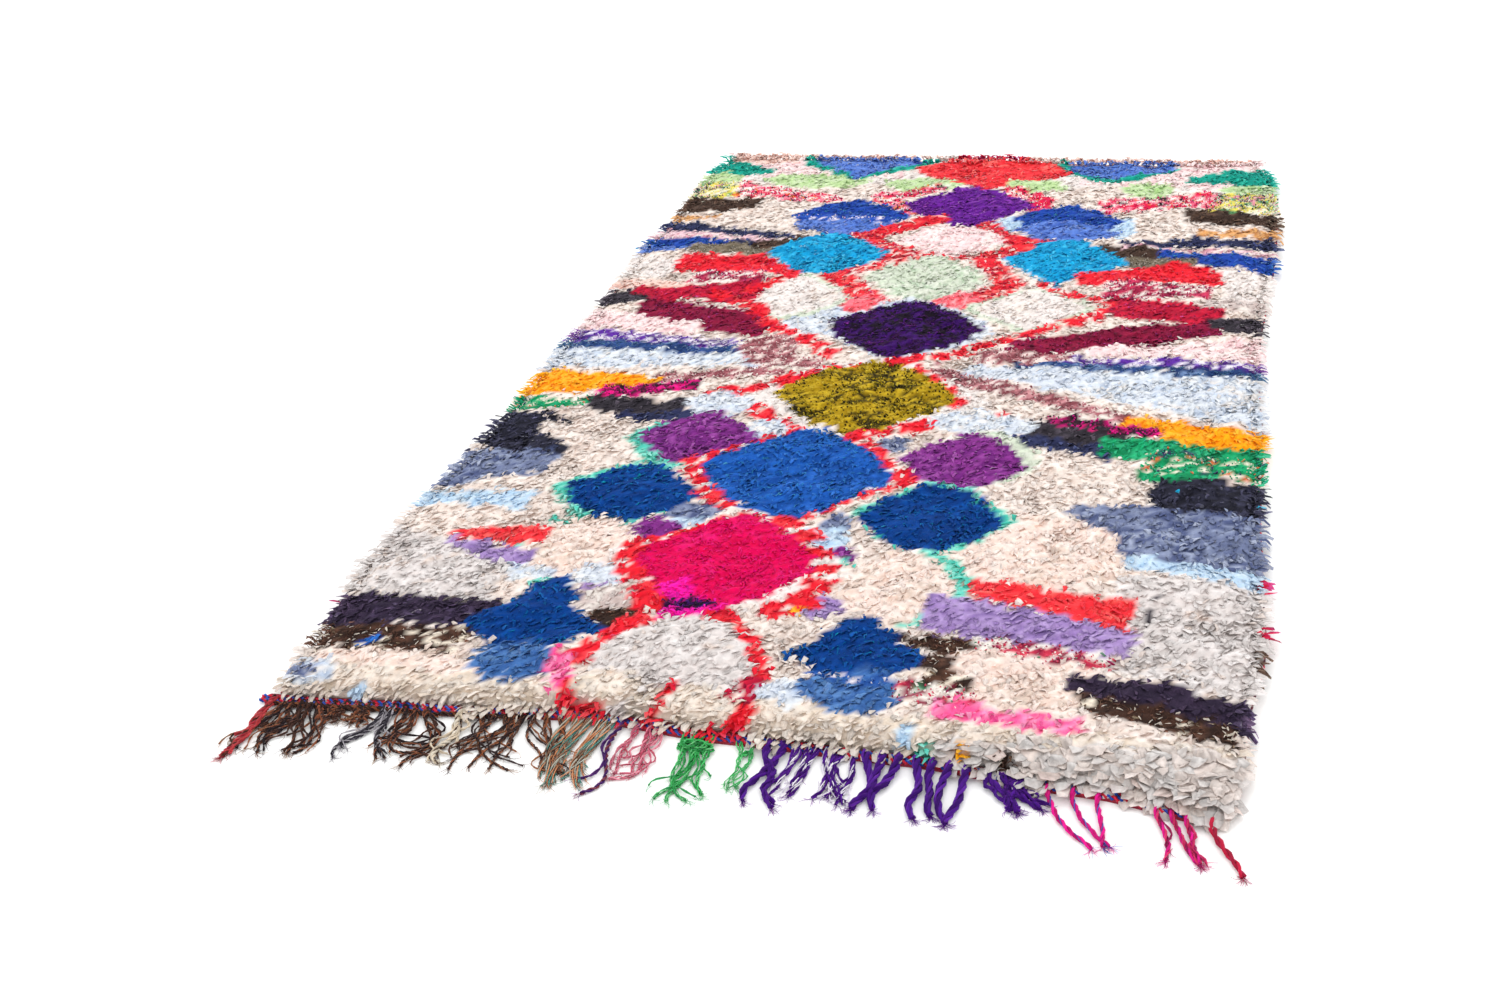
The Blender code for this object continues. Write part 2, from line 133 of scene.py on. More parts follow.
chart = (
    # Ground tones
    Stripe("cream", -0.80, 0.80, -1.42, 1.42, -1.42, 1.42),
    Stripe("greyWhite", 0.80, 0.50, -1.10, -0.76, -1.02, -0.76),
    Stripe("greyWhite", -0.80, -0.46, -0.98, -0.74, -0.97, -0.84),
    Lozenge("peachCream", 0.37, -0.70, 0.17, 0.11, 0, 2.2),
    Lozenge("peachCream", -0.50, -1.17, 0.16, 0.04, 0, 2.2),
    Stripe("nearCream", -0.80, 0.80, -1.42, -1.18, -1.42, -1.18),
    Lozenge("peachCream", 0.38, -1.07, 0.13, 0.09, 0, 2.2),
    Stripe("petalCream", 0.80, 0.30, -1.42, -1.19, -1.42, -1.22),
    # Far border and its half lozenges
    Stripe("white", -0.72, 0.72, 1.04, 1.40, 1.04, 1.40),
    Stripe("palePink", -0.72, -0.20, 1.09, 1.30, 1.09, 1.30),
    Stripe("palePink", 0.72, 0.24, 1.06, 1.30, 1.06, 1.30),
    Stripe("teal", -0.76, -0.54, 1.085, 1.29, 1.105, 1.15),
    Stripe("teal", 0.76, 0.49, 1.075, 1.24, 1.105, 1.145),
    Stripe("teal", 0.76, 0.63, 1.07, 1.30, 1.10, 1.20),
    Stripe("peach", -0.67, -0.50, 1.21, 1.30, 1.20, 1.30),
    Lozenge("teal", -0.305, 1.225, 0.175, 0.145, 0, 1.15),
    Lozenge("teal", 0.315, 1.205, 0.155, 0.135, 0, 1.1),
    Lozenge("periwinkle", -0.31, 1.235, 0.145, 0.13, 0, 1.2),
    Lozenge("periwinkle", 0.325, 1.215, 0.14, 0.09, 0, 1.3),
    Band("teal", 0.026, ((-0.53, 1.34), (-0.45, 1.19))),
    Band("teal", 0.016, ((0.10, 1.30), (0.20, 1.21))),
    Stripe("peach", -0.62, -0.12, 1.245, 1.40, 1.250, 1.40),
    Stripe("peach", 0.64, 0.11, 1.235, 1.40, 1.240, 1.40),
    Lozenge("scarlet", 0.015, 1.165, 0.20, 0.14, 0, 1.2),
    Stripe("crimson", -0.085, 0.085, 1.25, 1.40, 1.25, 1.40),
    # Light green band with its flecked edges
    Lozenge("lightGreen", -0.68, 1.075, 0.07, 0.05, 0, 1.8),
    Lozenge("lightGreen", -0.41, 1.07, 0.14, 0.055, 0, 1.6),
    Lozenge("lightGreen", -0.14, 1.05, 0.10, 0.05, 0, 1.8),
    Lozenge("lightGreen", 0.14, 1.055, 0.075, 0.045, 0, 1.8),
    Lozenge("lightGreen", 0.40, 1.04, 0.06, 0.055, 0, 1.8),
    Lozenge("lightGreen", 0.66, 1.06, 0.09, 0.035, 0, 1.8),
    Stripe("yellowFleck", -0.76, -0.59, 0.915, 1.045, 0.94, 1.05),
    Stripe("yellowFleck", 0.76, 0.55, 0.895, 1.035, 0.90, 1.04),
    Stripe("crimsonFleck", -0.60, -0.32, 0.945, 1.045, 0.90, 0.955),
    Stripe("crimsonFleck", 0.57, 0.30, 0.93, 1.045, 0.88, 0.96),
    Band("crimsonFleck", 0.050, ((-0.10, 1.03), (-0.16, 0.99), (-0.22, 0.955), (-0.14, 0.86))),
    Band("crimsonFleck", 0.055, ((0.09, 1.02), (0.17, 0.95), (0.17, 0.87))),
    Lozenge("violet", 0.0, 0.905, 0.155, 0.135, 0, 1.3),
    # Brown and tan sides, blue lozenges
    Stripe("darkBrown", -0.76, -0.51, 0.80, 0.93, 0.85, 0.925),
    Stripe("darkBrown", 0.76, 0.50, 0.785, 0.885, 0.83, 0.905),
    Stripe("tan", -0.76, -0.59, 0.75, 0.80, 0.765, 0.80),
    Stripe("tan", 0.76, 0.53, 0.74, 0.79, 0.735, 0.77),
    Stripe("navy", -0.76, -0.37, 0.70, 0.765, 0.66, 0.69),
    Stripe("navy", 0.76, 0.48, 0.66, 0.73, 0.675, 0.725),
    Stripe("navy", 0.50, 0.36, 0.665, 0.70, 0.668, 0.68),
    Stripe("pinkRow", -0.76, -0.35, 0.64, 0.70, 0.635, 0.66),
    Stripe("pinkRow", 0.76, 0.38, 0.62, 0.655, 0.64, 0.665),
    Stripe("royal", -0.76, -0.50, 0.575, 0.64, 0.60, 0.64),
    Stripe("periwinkle", -0.76, -0.58, 0.54, 0.58, 0.57, 0.595),
    Stripe("navy", -0.52, -0.42, 0.61, 0.64, 0.63, 0.645),
    Stripe("royal", 0.76, 0.46, 0.50, 0.61, 0.60, 0.645),
    Stripe("oliveGrey", -0.60, -0.34, 0.55, 0.61, 0.56, 0.63),
    Stripe("oliveGrey", 0.54, 0.36, 0.53, 0.585, 0.55, 0.61),
    Stripe("darkBrown", -0.46, -0.32, 0.60, 0.65, 0.60, 0.665),
    Stripe("darkBrown", 0.46, 0.33, 0.595, 0.64, 0.60, 0.67),
    Lozenge("royal", -0.27, 0.815, 0.145, 0.115, 0, 1.25),
    Lozenge("periwinkle", -0.27, 0.755, 0.13, 0.065, 0, 1.4),
    Stripe("blueRow", -0.40, -0.14, 0.79, 0.815, 0.79, 0.815),
    Lozenge("lightBlue", 0.37, 0.77, 0.035, 0.08, 0, 1.6),
    Lozenge("lightBlue", 0.12, 0.79, 0.035, 0.05, 0, 1.6),
    Lozenge("royal", 0.245, 0.82, 0.13, 0.105, 0, 1.25),
    Lozenge("periwinkle", 0.25, 0.745, 0.125, 0.065, 0, 1.4),
    # Middle of the far half: red bands with four pale lozenges, turquoise beside them
    Band("redTweed", 0.060, ((-0.06, 0.81), (-0.22, 0.69), (-0.10, 0.58), (-0.13, 0.51))),
    Band("redTweed", 0.060, ((-0.13, 0.50), (-0.225, 0.45), (-0.15, 0.35), (-0.11, 0.30))),
    Band("redTweed", 0.055, ((0.06, 0.78), (0.10, 0.70), (0.20, 0.66), (0.10, 0.59))),
    Band("redTweed", 0.060, ((0.08, 0.57), (0.12, 0.50), (0.165, 0.42), (0.12, 0.35))),
    Lozenge("redTweed", -0.02, 0.575, 0.11, 0.04, 0, 1.2),
    Lozenge("turquoise", -0.27, 0.57, 0.138, 0.138, 0, 1.2),
    Lozenge("turquoise", 0.262, 0.565, 0.138, 0.135, 0, 1.25),
    Stripe("red", -0.62, -0.41, 0.445, 0.50, 0.43, 0.565),
    Stripe("red", -0.60, -0.50, 0.44, 0.545, 0.43, 0.55),
    Stripe("red", -0.41, -0.305, 0.43, 0.55, 0.42, 0.455),
    Stripe("red", 0.60, 0.50, 0.44, 0.53, 0.455, 0.57),
    Stripe("red", 0.50, 0.30, 0.455, 0.565, 0.425, 0.495),
    Stripe("maroonFleck", -0.54, -0.37, 0.375, 0.435, 0.385, 0.44),
    Stripe("maroonFleck", 0.58, 0.36, 0.375, 0.44, 0.36, 0.455),
    Lozenge("palePink", -0.005, 0.675, 0.125, 0.11, 0, 1.2),
    Lozenge("coral", -0.115, 0.275, 0.06, 0.05, 0, 1.4),
    Lozenge("coral", 0.07, 0.315, 0.055, 0.05, 0, 1.4),
    Lozenge("mint", -0.02, 0.435, 0.13, 0.135, 0, 1.25),
    Lozenge("paleBlue", -0.20, 0.19, 0.08, 0.09, 0, 1.4),
    Lozenge("mint", -0.28, 0.305, 0.125, 0.13, 0, 1.2),
    Lozenge("white", -0.285, 0.31, 0.11, 0.115, 0, 1.2),
    Lozenge("mint", 0.225, 0.28, 0.14, 0.115, 0, 1.2),
    Lozenge("white", 0.225, 0.285, 0.115, 0.10, 0, 1.2),
    Stripe("crimson", -0.65, -0.36, 0.27, 0.325, 0.265, 0.39),
    Stripe("crimson", 0.61, 0.38, 0.245, 0.32, 0.25, 0.375),
    Stripe("maroon", -0.60, -0.30, 0.175, 0.285, 0.075, 0.19),
    Stripe("maroon", 0.61, 0.21, 0.185, 0.27, 0.035, 0.12),
    Stripe("white", -0.76, -0.60, 0.38, 0.54, 0.40, 0.50),
    Stripe("white", 0.76, 0.60, 0.36, 0.49, 0.38, 0.54),
    Stripe("peach", -0.76, -0.54, 0.325, 0.375, 0.335, 0.375),
    Stripe("greyPink", 0.76, 0.57, 0.285, 0.37, 0.315, 0.37),
    Stripe("charcoal", -0.77, -0.595, 0.215, 0.34, 0.245, 0.285),
    Stripe("charcoal", 0.77, 0.585, 0.185, 0.30, 0.215, 0.265),
    Stripe("palePink", -0.76, -0.44, 0.10, 0.215, 0.085, 0.15),
    Stripe("palePink", 0.76, 0.36, 0.065, 0.20, 0.065, 0.10),
    Band("red", 0.034, ((-0.32, 0.425), (-0.39, 0.345)), 0.030),
    Band("red", 0.040, ((-0.45, 0.31), (-0.35, 0.235), (-0.29, 0.15), (-0.20, 0.085),
                        (-0.12, 0.005)), 0.046),
    Band("red", 0.034, ((0.23, 0.43), (0.31, 0.36), (0.375, 0.33), (0.36, 0.25)), 0.034),
    Band("red", 0.036, ((0.33, 0.23), (0.25, 0.17), (0.16, 0.095), (0.09, 0.03), (0.02, 0.005)), 0.050),
    Lozenge("paleBlue", -0.015, 0.16, 0.19, 0.17, 0, 1.15),
    Lozenge("blackViolet", -0.015, 0.16, 0.16, 0.155, 0, 1.25),
    # Thin purple and navy rows, pale blue fields, rose flecks
    Stripe("violetRow", -0.76, -0.33, 0.035, 0.095, 0.03, 0.07),
    Stripe("violetRow", 0.76, 0.28, 0.015, 0.06, 0.02, 0.055),
    Stripe("navyRow", -0.76, -0.30, -0.005, 0.04, -0.005, 0.03),
    Stripe("navyRow", 0.76, 0.23, -0.012, 0.02, -0.008, 0.02),
    Stripe("paleBlue", -0.76, -0.26, -0.115, -0.003, -0.05, -0.003),
    Stripe("paleBlue", 0.76, 0.13, -0.25, -0.010, -0.04, -0.005),
    Lozenge("roseFleck", -0.26, 0.025, 0.06, 0.08, 0, 1.6),
    Stripe("roseFleck", -0.24, -0.14, -0.04, 0.02, -0.06, -0.01),
    Stripe("roseFleck", 0.34, 0.15, 0.03, 0.07, 0.005, 0.06),
    Stripe("roseFleck", -0.45, -0.20, -0.15, -0.105, -0.085, -0.05),
    Stripe("roseFleck", 0.47, 0.08, -0.225, -0.195, -0.075, -0.005),
    # Olive lozenge with its red zigzags
    Lozenge("white", -0.03, -0.165, 0.25, 0.19, 0, 1.1),
    Band("red", 0.040, ((0.0, 0.0), (-0.09, -0.045), (-0.19, -0.105), (-0.32, -0.195)), 0.052),
    Band("red", 0.038, ((-0.32, -0.195), (-0.24, -0.235), (-0.18, -0.28), (-0.12, -0.325)), 0.046),
    Band("red", 0.042, ((0.0, 0.0), (0.07, -0.07), (0.12, -0.13), (0.165, -0.19)), 0.052),
    Band("red", 0.040, ((0.24, -0.225), (0.15, -0.245), (0.10, -0.285), (-0.01, -0.325)), 0.052),
    Lozenge("olive", -0.03, -0.165, 0.175, 0.17, 0, 1.25),
    # Orange, magenta and dark stripes at the sides
    Stripe("orange", -0.76, -0.44, -0.25, -0.11, -0.185, -0.13),
    Stripe("orange", 0.76, 0.455, -0.33, -0.245, -0.27, -0.195),
    Stripe("magentaFleck", -0.545, -0.355, -0.25, -0.19, -0.175, -0.125),
    Stripe("magentaFleck", 0.52, 0.32, -0.285, -0.24, -0.25, -0.205),
    Stripe("greenFleck", -0.76, -0.53, -0.31, -0.245, -0.275, -0.24),
    Stripe("charcoal", -0.55, -0.35, -0.285, -0.235, -0.29, -0.22),
    Stripe("charcoal", 0.48, 0.28, -0.345, -0.27, -0.30, -0.235),
    Stripe("navy", -0.48, -0.33, -0.315, -0.28, -0.31, -0.28),
    Stripe("navy", 0.45, 0.25, -0.37, -0.325, -0.325, -0.29),
    Stripe("green", 0.76, 0.43, -0.440, -0.312, -0.350, -0.280),
    Stripe("green", 0.63, 0.50, -0.460, -0.42, -0.44, -0.38),
    Stripe("greenFleck", 0.76, 0.505, -0.425, -0.335, -0.405, -0.335),
    Stripe("black", -0.77, -0.61, -0.455, -0.30, -0.455, -0.31),
    Stripe("black", -0.66, -0.52, -0.47, -0.33, -0.48, -0.44),
    Band("black", 0.022, ((-0.62, -0.31), (-0.56, -0.335))),
    Stripe("black", 0.77, 0.525, -0.57, -0.425, -0.535, -0.44),
    Stripe("slate", -0.77, -0.525, -0.655, -0.475, -0.540, -0.463),
    Stripe("slate", 0.77, 0.49, -0.73, -0.55, -0.695, -0.535),
    Stripe("slate", 0.51, 0.40, -0.655, -0.54, -0.575, -0.545),
    Stripe("lightBlue", -0.77, -0.51, -0.688, -0.640, -0.680, -0.618),
    Stripe("lightBlue", 0.77, 0.50, -0.785, -0.725, -0.73, -0.69),
    Lozenge("turquoise", 0.565, -0.478, 0.010, 0.005, 0, 1.8),
    Lozenge("turquoise", 0.73, -0.50, 0.025, 0.015, 0, 1.8),
    # Pale blue patches between the lozenges
    Lozenge("paleBlue", -0.29, -0.235, 0.07, 0.06, 0, 1.8),
    Lozenge("paleBlue", 0.21, -0.26, 0.10, 0.05, 0, 1.8),
    Lozenge("slate", 0.07, -0.36, 0.03, 0.035, 0, 1.8),
    Lozenge("paleBlue", -0.175, -0.335, 0.05, 0.05, 0, 1.8),
    Lozenge("slate", -0.215, -0.66, 0.05, 0.04, 0, 1.8),
    Lozenge("lightBlue", -0.20, -0.70, 0.05, 0.03, 0, 1.8),
    Lozenge("slate", 0.03, -0.66, 0.03, 0.03, 0, 1.8),
    Lozenge("lightBlue", 0.02, -0.71, 0.05, 0.04, 0, 1.8),
    # Purple lozenges, central cobalt one, small cobalt ones
    Lozenge("mintTeal", -0.305, -0.395, 0.115, 0.115, 0, 1.3),
    Lozenge("mint", 0.225, -0.40, 0.11, 0.125, 0, 1.3),
    Lozenge("purple", -0.287, -0.38, 0.112, 0.112, 0, 1.35),
    Lozenge("purple", 0.203, -0.415, 0.112, 0.12, 0, 1.25),
    Lozenge("mintTeal", -0.355, -0.60, 0.132, 0.125, 0, 1.25),
    Lozenge("mintTeal", 0.185, -0.62, 0.135, 0.125, 0, 1.25),
    Lozenge("deepBlue", -0.345, -0.597, 0.122, 0.113, 0, 1.3),
    Lozenge("deepBlue", 0.18, -0.622, 0.122, 0.115, 0, 1.3),
    Lozenge("white", -0.08, -0.49, 0.20, 0.20, 0, 1.15),
    Band("red", 0.036, ((-0.12, -0.325), (-0.17, -0.39), (-0.28, -0.47), (-0.21, -0.585),
                        (-0.12, -0.665)), 0.040),
    Band("red", 0.036, ((-0.01, -0.325), (0.055, -0.42), (0.115, -0.50), (0.02, -0.585),
                        (-0.06, -0.665)), 0.040),
    Lozenge("cobalt", -0.08, -0.488, 0.172, 0.182, 0, 1.25),
    # Hot pink lozenge, red outline and peach cream lozenges beside it
    Lozenge("purple", -0.25, -0.72, 0.055, 0.032, 0, 1.6),
    Lozenge("purple", 0.055, -0.765, 0.032, 0.04, 0, 1.6),
    Lozenge("mintTeal", 0.065, -0.815, 0.03, 0.05, 0, 1.6),
    Lozenge("mintTeal", -0.385, -0.79, 0.105, 0.115, 0, 1.3),
    Lozenge("peachCream", -0.37, -0.79, 0.105, 0.115, 0, 1.35),
    Lozenge("mintTeal", 0.185, -0.835, 0.11, 0.12, 0, 1.3),
    Lozenge("peachCream", 0.167, -0.84, 0.098, 0.118, 0, 1.4),
    Lozenge("lavender", 0.065, -0.915, 0.035, 0.035, 0, 1.8),
    Lozenge("paleBlue", -0.305, -0.880, 0.055, 0.040, 0, 1.8),
    Lozenge("lavender", -0.285, -0.925, 0.035, 0.022, 0, 1.8),
    Lozenge("white", -0.115, -0.81, 0.205, 0.18, 0, 1.15),
    Band("red", 0.042, ((-0.11, -0.665), (-0.19, -0.71), (-0.29, -0.79), (-0.25, -0.87),
                        (-0.205, -0.93)), 0.038),
    Band("red", 0.050, ((-0.06, -0.665), (0.01, -0.73), (0.052, -0.83), (0.04, -0.90),
                        (-0.02, -0.95)), 0.052),
    Lozenge("hotPink", -0.115, -0.805, 0.150, 0.152, 0, 1.3),
    Lozenge("fuchsia", -0.13, -0.95, 0.06, 0.04, 0, 1.6),
    Lozenge("fuchsia", -0.17, -0.90, 0.03, 0.03, 0, 1.8),
    Lozenge("blackViolet", -0.14, -0.932, 0.045, 0.018, 0, 1.8),
    # Red and lavender stripes
    Stripe("scarlet", -0.61, -0.44, -0.79, -0.765, -0.80, -0.725),
    Stripe("scarlet", 0.53, 0.275, -0.915, -0.83, -0.855, -0.80),
    Lozenge("mintTeal", 0.265, -0.83, 0.014, 0.035, 0, 1.6),
    Stripe("lavender", -0.600, -0.43, -0.815, -0.793, -0.875, -0.818),
    Lozenge("paleBlue", -0.425, -0.885, 0.05, 0.022, 0, 1.8),
    Lozenge("mintTeal", -0.395, -0.905, 0.02, 0.012, 0, 1.8),
    Lozenge("mintTeal", -0.435, -0.705, 0.02, 0.008, 0, 1.8),
    Stripe("lavender", 0.535, 0.225, -0.985, -0.91, -0.95, -0.86),
    Band("charcoal", 0.008, ((0.552, -0.95), (0.555, -0.83))),
    Stripe("redFleck", 0.51, 0.30, -1.02, -0.98, -1.00, -0.955),
    # Aubergine and brown stripes, blue lozenges and brown patches
    Stripe("aubergine", -0.76, -0.43, -1.095, -0.985, -1.04, -0.97),
    Stripe("aubergine", 0.76, 0.455, -1.165, -1.085, -1.08, -1.03),
    Stripe("brown", -0.76, -0.45, -1.15, -1.09, -1.13, -1.05),
    Stripe("brown", 0.69, 0.475, -1.175, -1.125, -1.135, -1.080),
    Lozenge("cobalt", -0.59, -1.115, 0.02, 0.012, 0, 1.8),
    Lozenge("greyPink", -0.265, -0.942, 0.060, 0.036, 0, 1.8),
    Lozenge("brown", -0.242, -1.000, 0.050, 0.036, 0, 1.8),
    Lozenge("deepBlue", -0.365, -1.03, 0.115, 0.08, 0, 1.3),
    Lozenge("deepBlue", -0.367, -0.955, 0.052, 0.075, 0, 1.3),
    Lozenge("denim", -0.347, -1.13, 0.075, 0.058, 0, 1.7),
    Lozenge("deepBlue", 0.152, -1.045, 0.11, 0.065, 0, 1.3),
    Lozenge("deepBlue", 0.148, -0.995, 0.06, 0.06, 0, 1.3),
    Lozenge("paleBlue", 0.067, -1.148, 0.06, 0.035, 0, 1.8),
    Lozenge("denim", 0.16, -1.13, 0.08, 0.055, 0, 1.7),
    Stripe("denimRow", 0.24, 0.09, -1.113, -1.099, -1.101, -1.087),
    Lozenge("brown", 0.255, -0.985, 0.055, 0.025, 0, 1.8),
    Lozenge("brown", 0.268, -1.035, 0.022, 0.06, 0, 2.2),
    Lozenge("brown", 0.295, -1.09, 0.042, 0.025, 0, 1.8),
    Stripe("redFleck", 0.34, 0.22, -1.15, -1.115, -1.14, -1.09),
    Stripe("pink", 0.49, 0.28, -1.19, -1.155, -1.165, -1.135),
    # Pale lozenge near the fringe, its outline, and small spots
    Band("red", 0.052, ((-0.205, -0.93), (-0.20, -1.01), (-0.24, -1.06), (-0.25, -1.10)), 0.050),
    Band("pink", 0.038, ((-0.285, -1.11), (-0.275, -1.15), (-0.255, -1.18)), 0.030),
    Band("red", 0.050, ((-0.24, -1.19), (-0.20, -1.24), (-0.15, -1.28))),
    Band("red", 0.052, ((-0.08, -0.965), (-0.03, -1.03), (0.012, -1.10), (0.025, -1.13)), 0.050),
    Band("crimson", 0.040, ((0.01, -1.13), (0.005, -1.20)), 0.034),
    Band("red", 0.050, ((0.01, -1.21), (0.0, -1.27))),
    Lozenge("greyWhite", -0.115, -1.105, 0.122, 0.14, 0, 1.6),
    Lozenge("nearCream", -0.07, -1.20, 0.08, 0.05, 0, 1.8),
    Lozenge("nearCream", -0.19, -1.17, 0.05, 0.04, 0, 1.8),
    Band("red", 0.022, ((-0.095, -1.15), (-0.115, -1.27)), 0.032),
    Stripe("red", -0.07, 0.01, -1.32, -1.255, -1.32, -1.235),
    Lozenge("orange", 0.338, -1.25, 0.010, 0.024, 0, 1.8),
    Lozenge("mintTeal", 0.283, -1.25, 0.016, 0.022, 0, 1.8),
    Lozenge("lightBlue", 0.255, -1.22, 0.012, 0.025, 0, 1.8),
    Lozenge("brown", 0.395, -1.245, 0.012, 0.022, 0, 1.8),
    Lozenge("orange", 0.035, -0.935, 0.010, 0.010, 0, 1.8),
    Lozenge("lightBlue", -0.555, -1.25, 0.015, 0.028, 0, 1.8),
    Lozenge("paleBlue", -0.65, -1.205, 0.045, 0.032, 0, 1.8),
    Lozenge("slate", -0.665, -1.205, 0.030, 0.016, 0, 1.8),
    Stripe("crimson", 0.77, 0.717, -0.775, -0.730, -0.775, -0.730),
    Stripe("crimson", 0.77, 0.717, -0.905, -0.870, -0.905, -0.870),
    Stripe("darkBrown", 0.77, 0.717, -1.030, -0.925, -1.030, -0.925),
    Stripe("crimson", 0.77, 0.720, -1.070, -1.040, -1.070, -1.040),
    Stripe("crimson", -0.77, -0.712, -1.050, -0.990, -1.050, -0.990),
)
knotShare = 0.76


def insideShape(shape, x, y):
    if isinstance(shape, Lozenge):
        across = np.abs(x - shape.x - shape.lean * (y - shape.y)) / shape.wide
        along = np.abs(y - shape.y) / shape.high
        return across ** shape.round + along ** shape.round < 1
    if isinstance(shape, Stripe):
        share = (x - shape.outer) / (shape.inner - shape.outer)
        low = shape.outerLow + (shape.innerLow - shape.outerLow) * share
        high = shape.outerHigh + (shape.innerHigh - shape.outerHigh) * share
        return (share >= 0) & (share <= 1) & (y > low) & (y < high)
    inside, before = np.zeros(x.shape, bool), 0.0
    for (startX, startY), (endX, endY) in zip(shape.corners, shape.corners[1:]):
        runX, runY = endX - startX, endY - startY
        length = math.hypot(runX, runY)
        share = np.clip(((x - startX) * runX + (y - startY) * runY) / length ** 2, 0, 1)
        away = np.hypot(x - startX - share * runX, y - startY - share * runY)
        knot = (before + share * length) / shape.pitch % 1 < knotShare if shape.pitch else True
        inside |= (away < shape.width / 2) & knot
        before += length
    return inside


def chartedCloth(x, y):
    # The cloth's number at each place: the last shape of the chart that covers it
    names = list(cloths)
    found = np.zeros(x.shape, int)
    for shape in chart:
        found[insideShape(shape, x, y)] = names.index(shape.cloth)
    return found


# Small tools

def srgb(hexColour):
    # A hex colour as linear red, green and blue
    parts = [int(hexColour[at:at + 2], 16) / 255 for at in (1, 3, 5)]
    return [part / 12.92 if part <= 0.04045 else ((part + 0.055) / 1.055) ** 2.4 for part in parts]


def mixOf(shades, draws):
    # A linear colour for each draw from 0 to 1, by the shades' shares
    colours = np.array([srgb(shade) for shade, share in shades])
    limits = np.cumsum([share for shade, share in shades])
    return colours[np.searchsorted(limits, draws * limits[-1], side="right").clip(0, len(shades) - 1)]


def noiseAt(x, y, size, layer):
    # Smooth noise from about -1 to 1 at each place, with lumps of a given size
    return np.array([noise.noise(Vector((a / size, b / size, layer))) for a, b in zip(x, y)])


def addNode(tree, kind, settings=None, links=None):
    # Adds a node: settings are its own values or its sockets', links say which output feeds which socket
    node = tree.nodes.new("ShaderNode" + kind)
    for key, value in (settings or {}).items():
        if isinstance(key, str) and hasattr(node, key):
            setattr(node, key, value)
        else:
            node.inputs[key].default_value = value
    for key, output in (links or {}).items():
        tree.links.new(output, node.inputs[key])
    return node


def meshFromArrays(name, points, triangles, colours, cellUv, aside=None):
    # A mesh of triangles with a colour at each point and a place on the map for each corner
    mesh = bpy.data.meshes.new(name)
    mesh.vertices.add(len(points))
    mesh.vertices.foreach_set("co", points.astype(np.float32).ravel())
    mesh.loops.add(triangles.size)
    mesh.loops.foreach_set("vertex_index", triangles.astype(np.int32).ravel())
    mesh.polygons.add(len(triangles))
    mesh.polygons.foreach_set("loop_start", np.arange(0, triangles.size, 3, dtype=np.int32))
    mesh.update(calc_edges=True)
    layer = mesh.color_attributes.new("ragColour", "FLOAT_COLOR", "POINT")
    layer.data.foreach_set("color", colours.astype(np.float32).ravel())
    uvLayer = mesh.uv_layers.new(name="OFBake")
    uvLayer.uv.foreach_set("vector", cellUv[triangles.ravel()].astype(np.float32).ravel())
    if aside is not None:
        layer = mesh.attributes.new("ragAcross", "FLOAT", "POINT")
        layer.data.foreach_set("value", aside.astype(np.float32))
    return mesh


def showPiece(name, mesh, material, smooth=True):
    mesh.materials.clear()
    mesh.materials.append(material)
    mesh.polygons.foreach_set("use_smooth", [smooth] * len(mesh.polygons))
    piece = bpy.data.objects.new(name, mesh)
    bpy.context.scene.collection.objects.link(piece)
    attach(piece, "root")
    return piece


# The slab of the frame gives the rug's outline and the pile's height

def cadPoints(node):
    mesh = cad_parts[node].data
    found = np.empty(len(mesh.vertices) * 3, np.float32)
    mesh.vertices.foreach_get("co", found)
    return np.unique(found.reshape(-1, 3).round(5), axis=0)


outlineSettings = {"lowest": 0.0004, "innerWidth": 0.60, "innerLength": 1.15}


def rugOutline():
    # The underside's rim corners in order round the rug
    points = cadPoints("rug_pile")
    ring = points[points[:, 2] < outlineSettings["lowest"]][:, :2]
    beyond = np.maximum(np.abs(ring[:, 0]) / outlineSettings["innerWidth"],
                        np.abs(ring[:, 1]) / outlineSettings["innerLength"])
    ring = ring[beyond > 1]
    return ring[np.argsort(np.arctan2(ring[:, 1], ring[:, 0]))]


outline = rugOutline()
edgeRuns = np.roll(outline, -1, axis=0) - outline
runsAcross = np.abs(edgeRuns[:, 0]) > np.abs(edgeRuns[:, 1])


def outlineSide(across, sign, sortedBy):
    # The corners of one side, found by which way its edges run
    running = runsAcross if across else ~runsAcross
    touching = running | np.roll(running, 1)
    side = outline[touching & (outline[:, 1 - sortedBy] * sign > 0)]
    return side[np.argsort(side[:, sortedBy])]


nearSide, farSide = outlineSide(True, -1, 0), outlineSide(True, 1, 0)
leftSide, rightSide = outlineSide(False, -1, 1), outlineSide(False, 1, 1)


def edgeOf(x, y):
    # How far each place lies inside the outline (below 0 outside it), and the way out to the nearest edge
    starts, ends = outline, np.roll(outline, -1, axis=0)
    runs = ends - starts
    away, wayOut = np.full(len(x), 9.0), np.zeros((len(x), 2))
    inside = np.zeros(len(x), bool)
    for start, run in zip(starts, runs):
        share = np.clip(((x - start[0]) * run[0] + (y - start[1]) * run[1]) / (run @ run), 0, 1)
        offX, offY = start[0] + share * run[0] - x, start[1] + share * run[1] - y
        far = np.hypot(offX, offY)
        nearer = far < away
        away[nearer] = far[nearer]
        length = np.hypot(*run)
        wayOut[nearer] = (run[1] / length, -run[0] / length)
        if run[1] != 0:
            crossing = (y > min(start[1], start[1] + run[1])) & (y <= max(start[1], start[1] + run[1]))
            inside ^= crossing & (x < start[0] + (y - start[1]) * run[0] / run[1])
    return np.where(inside, away, -away), wayOut


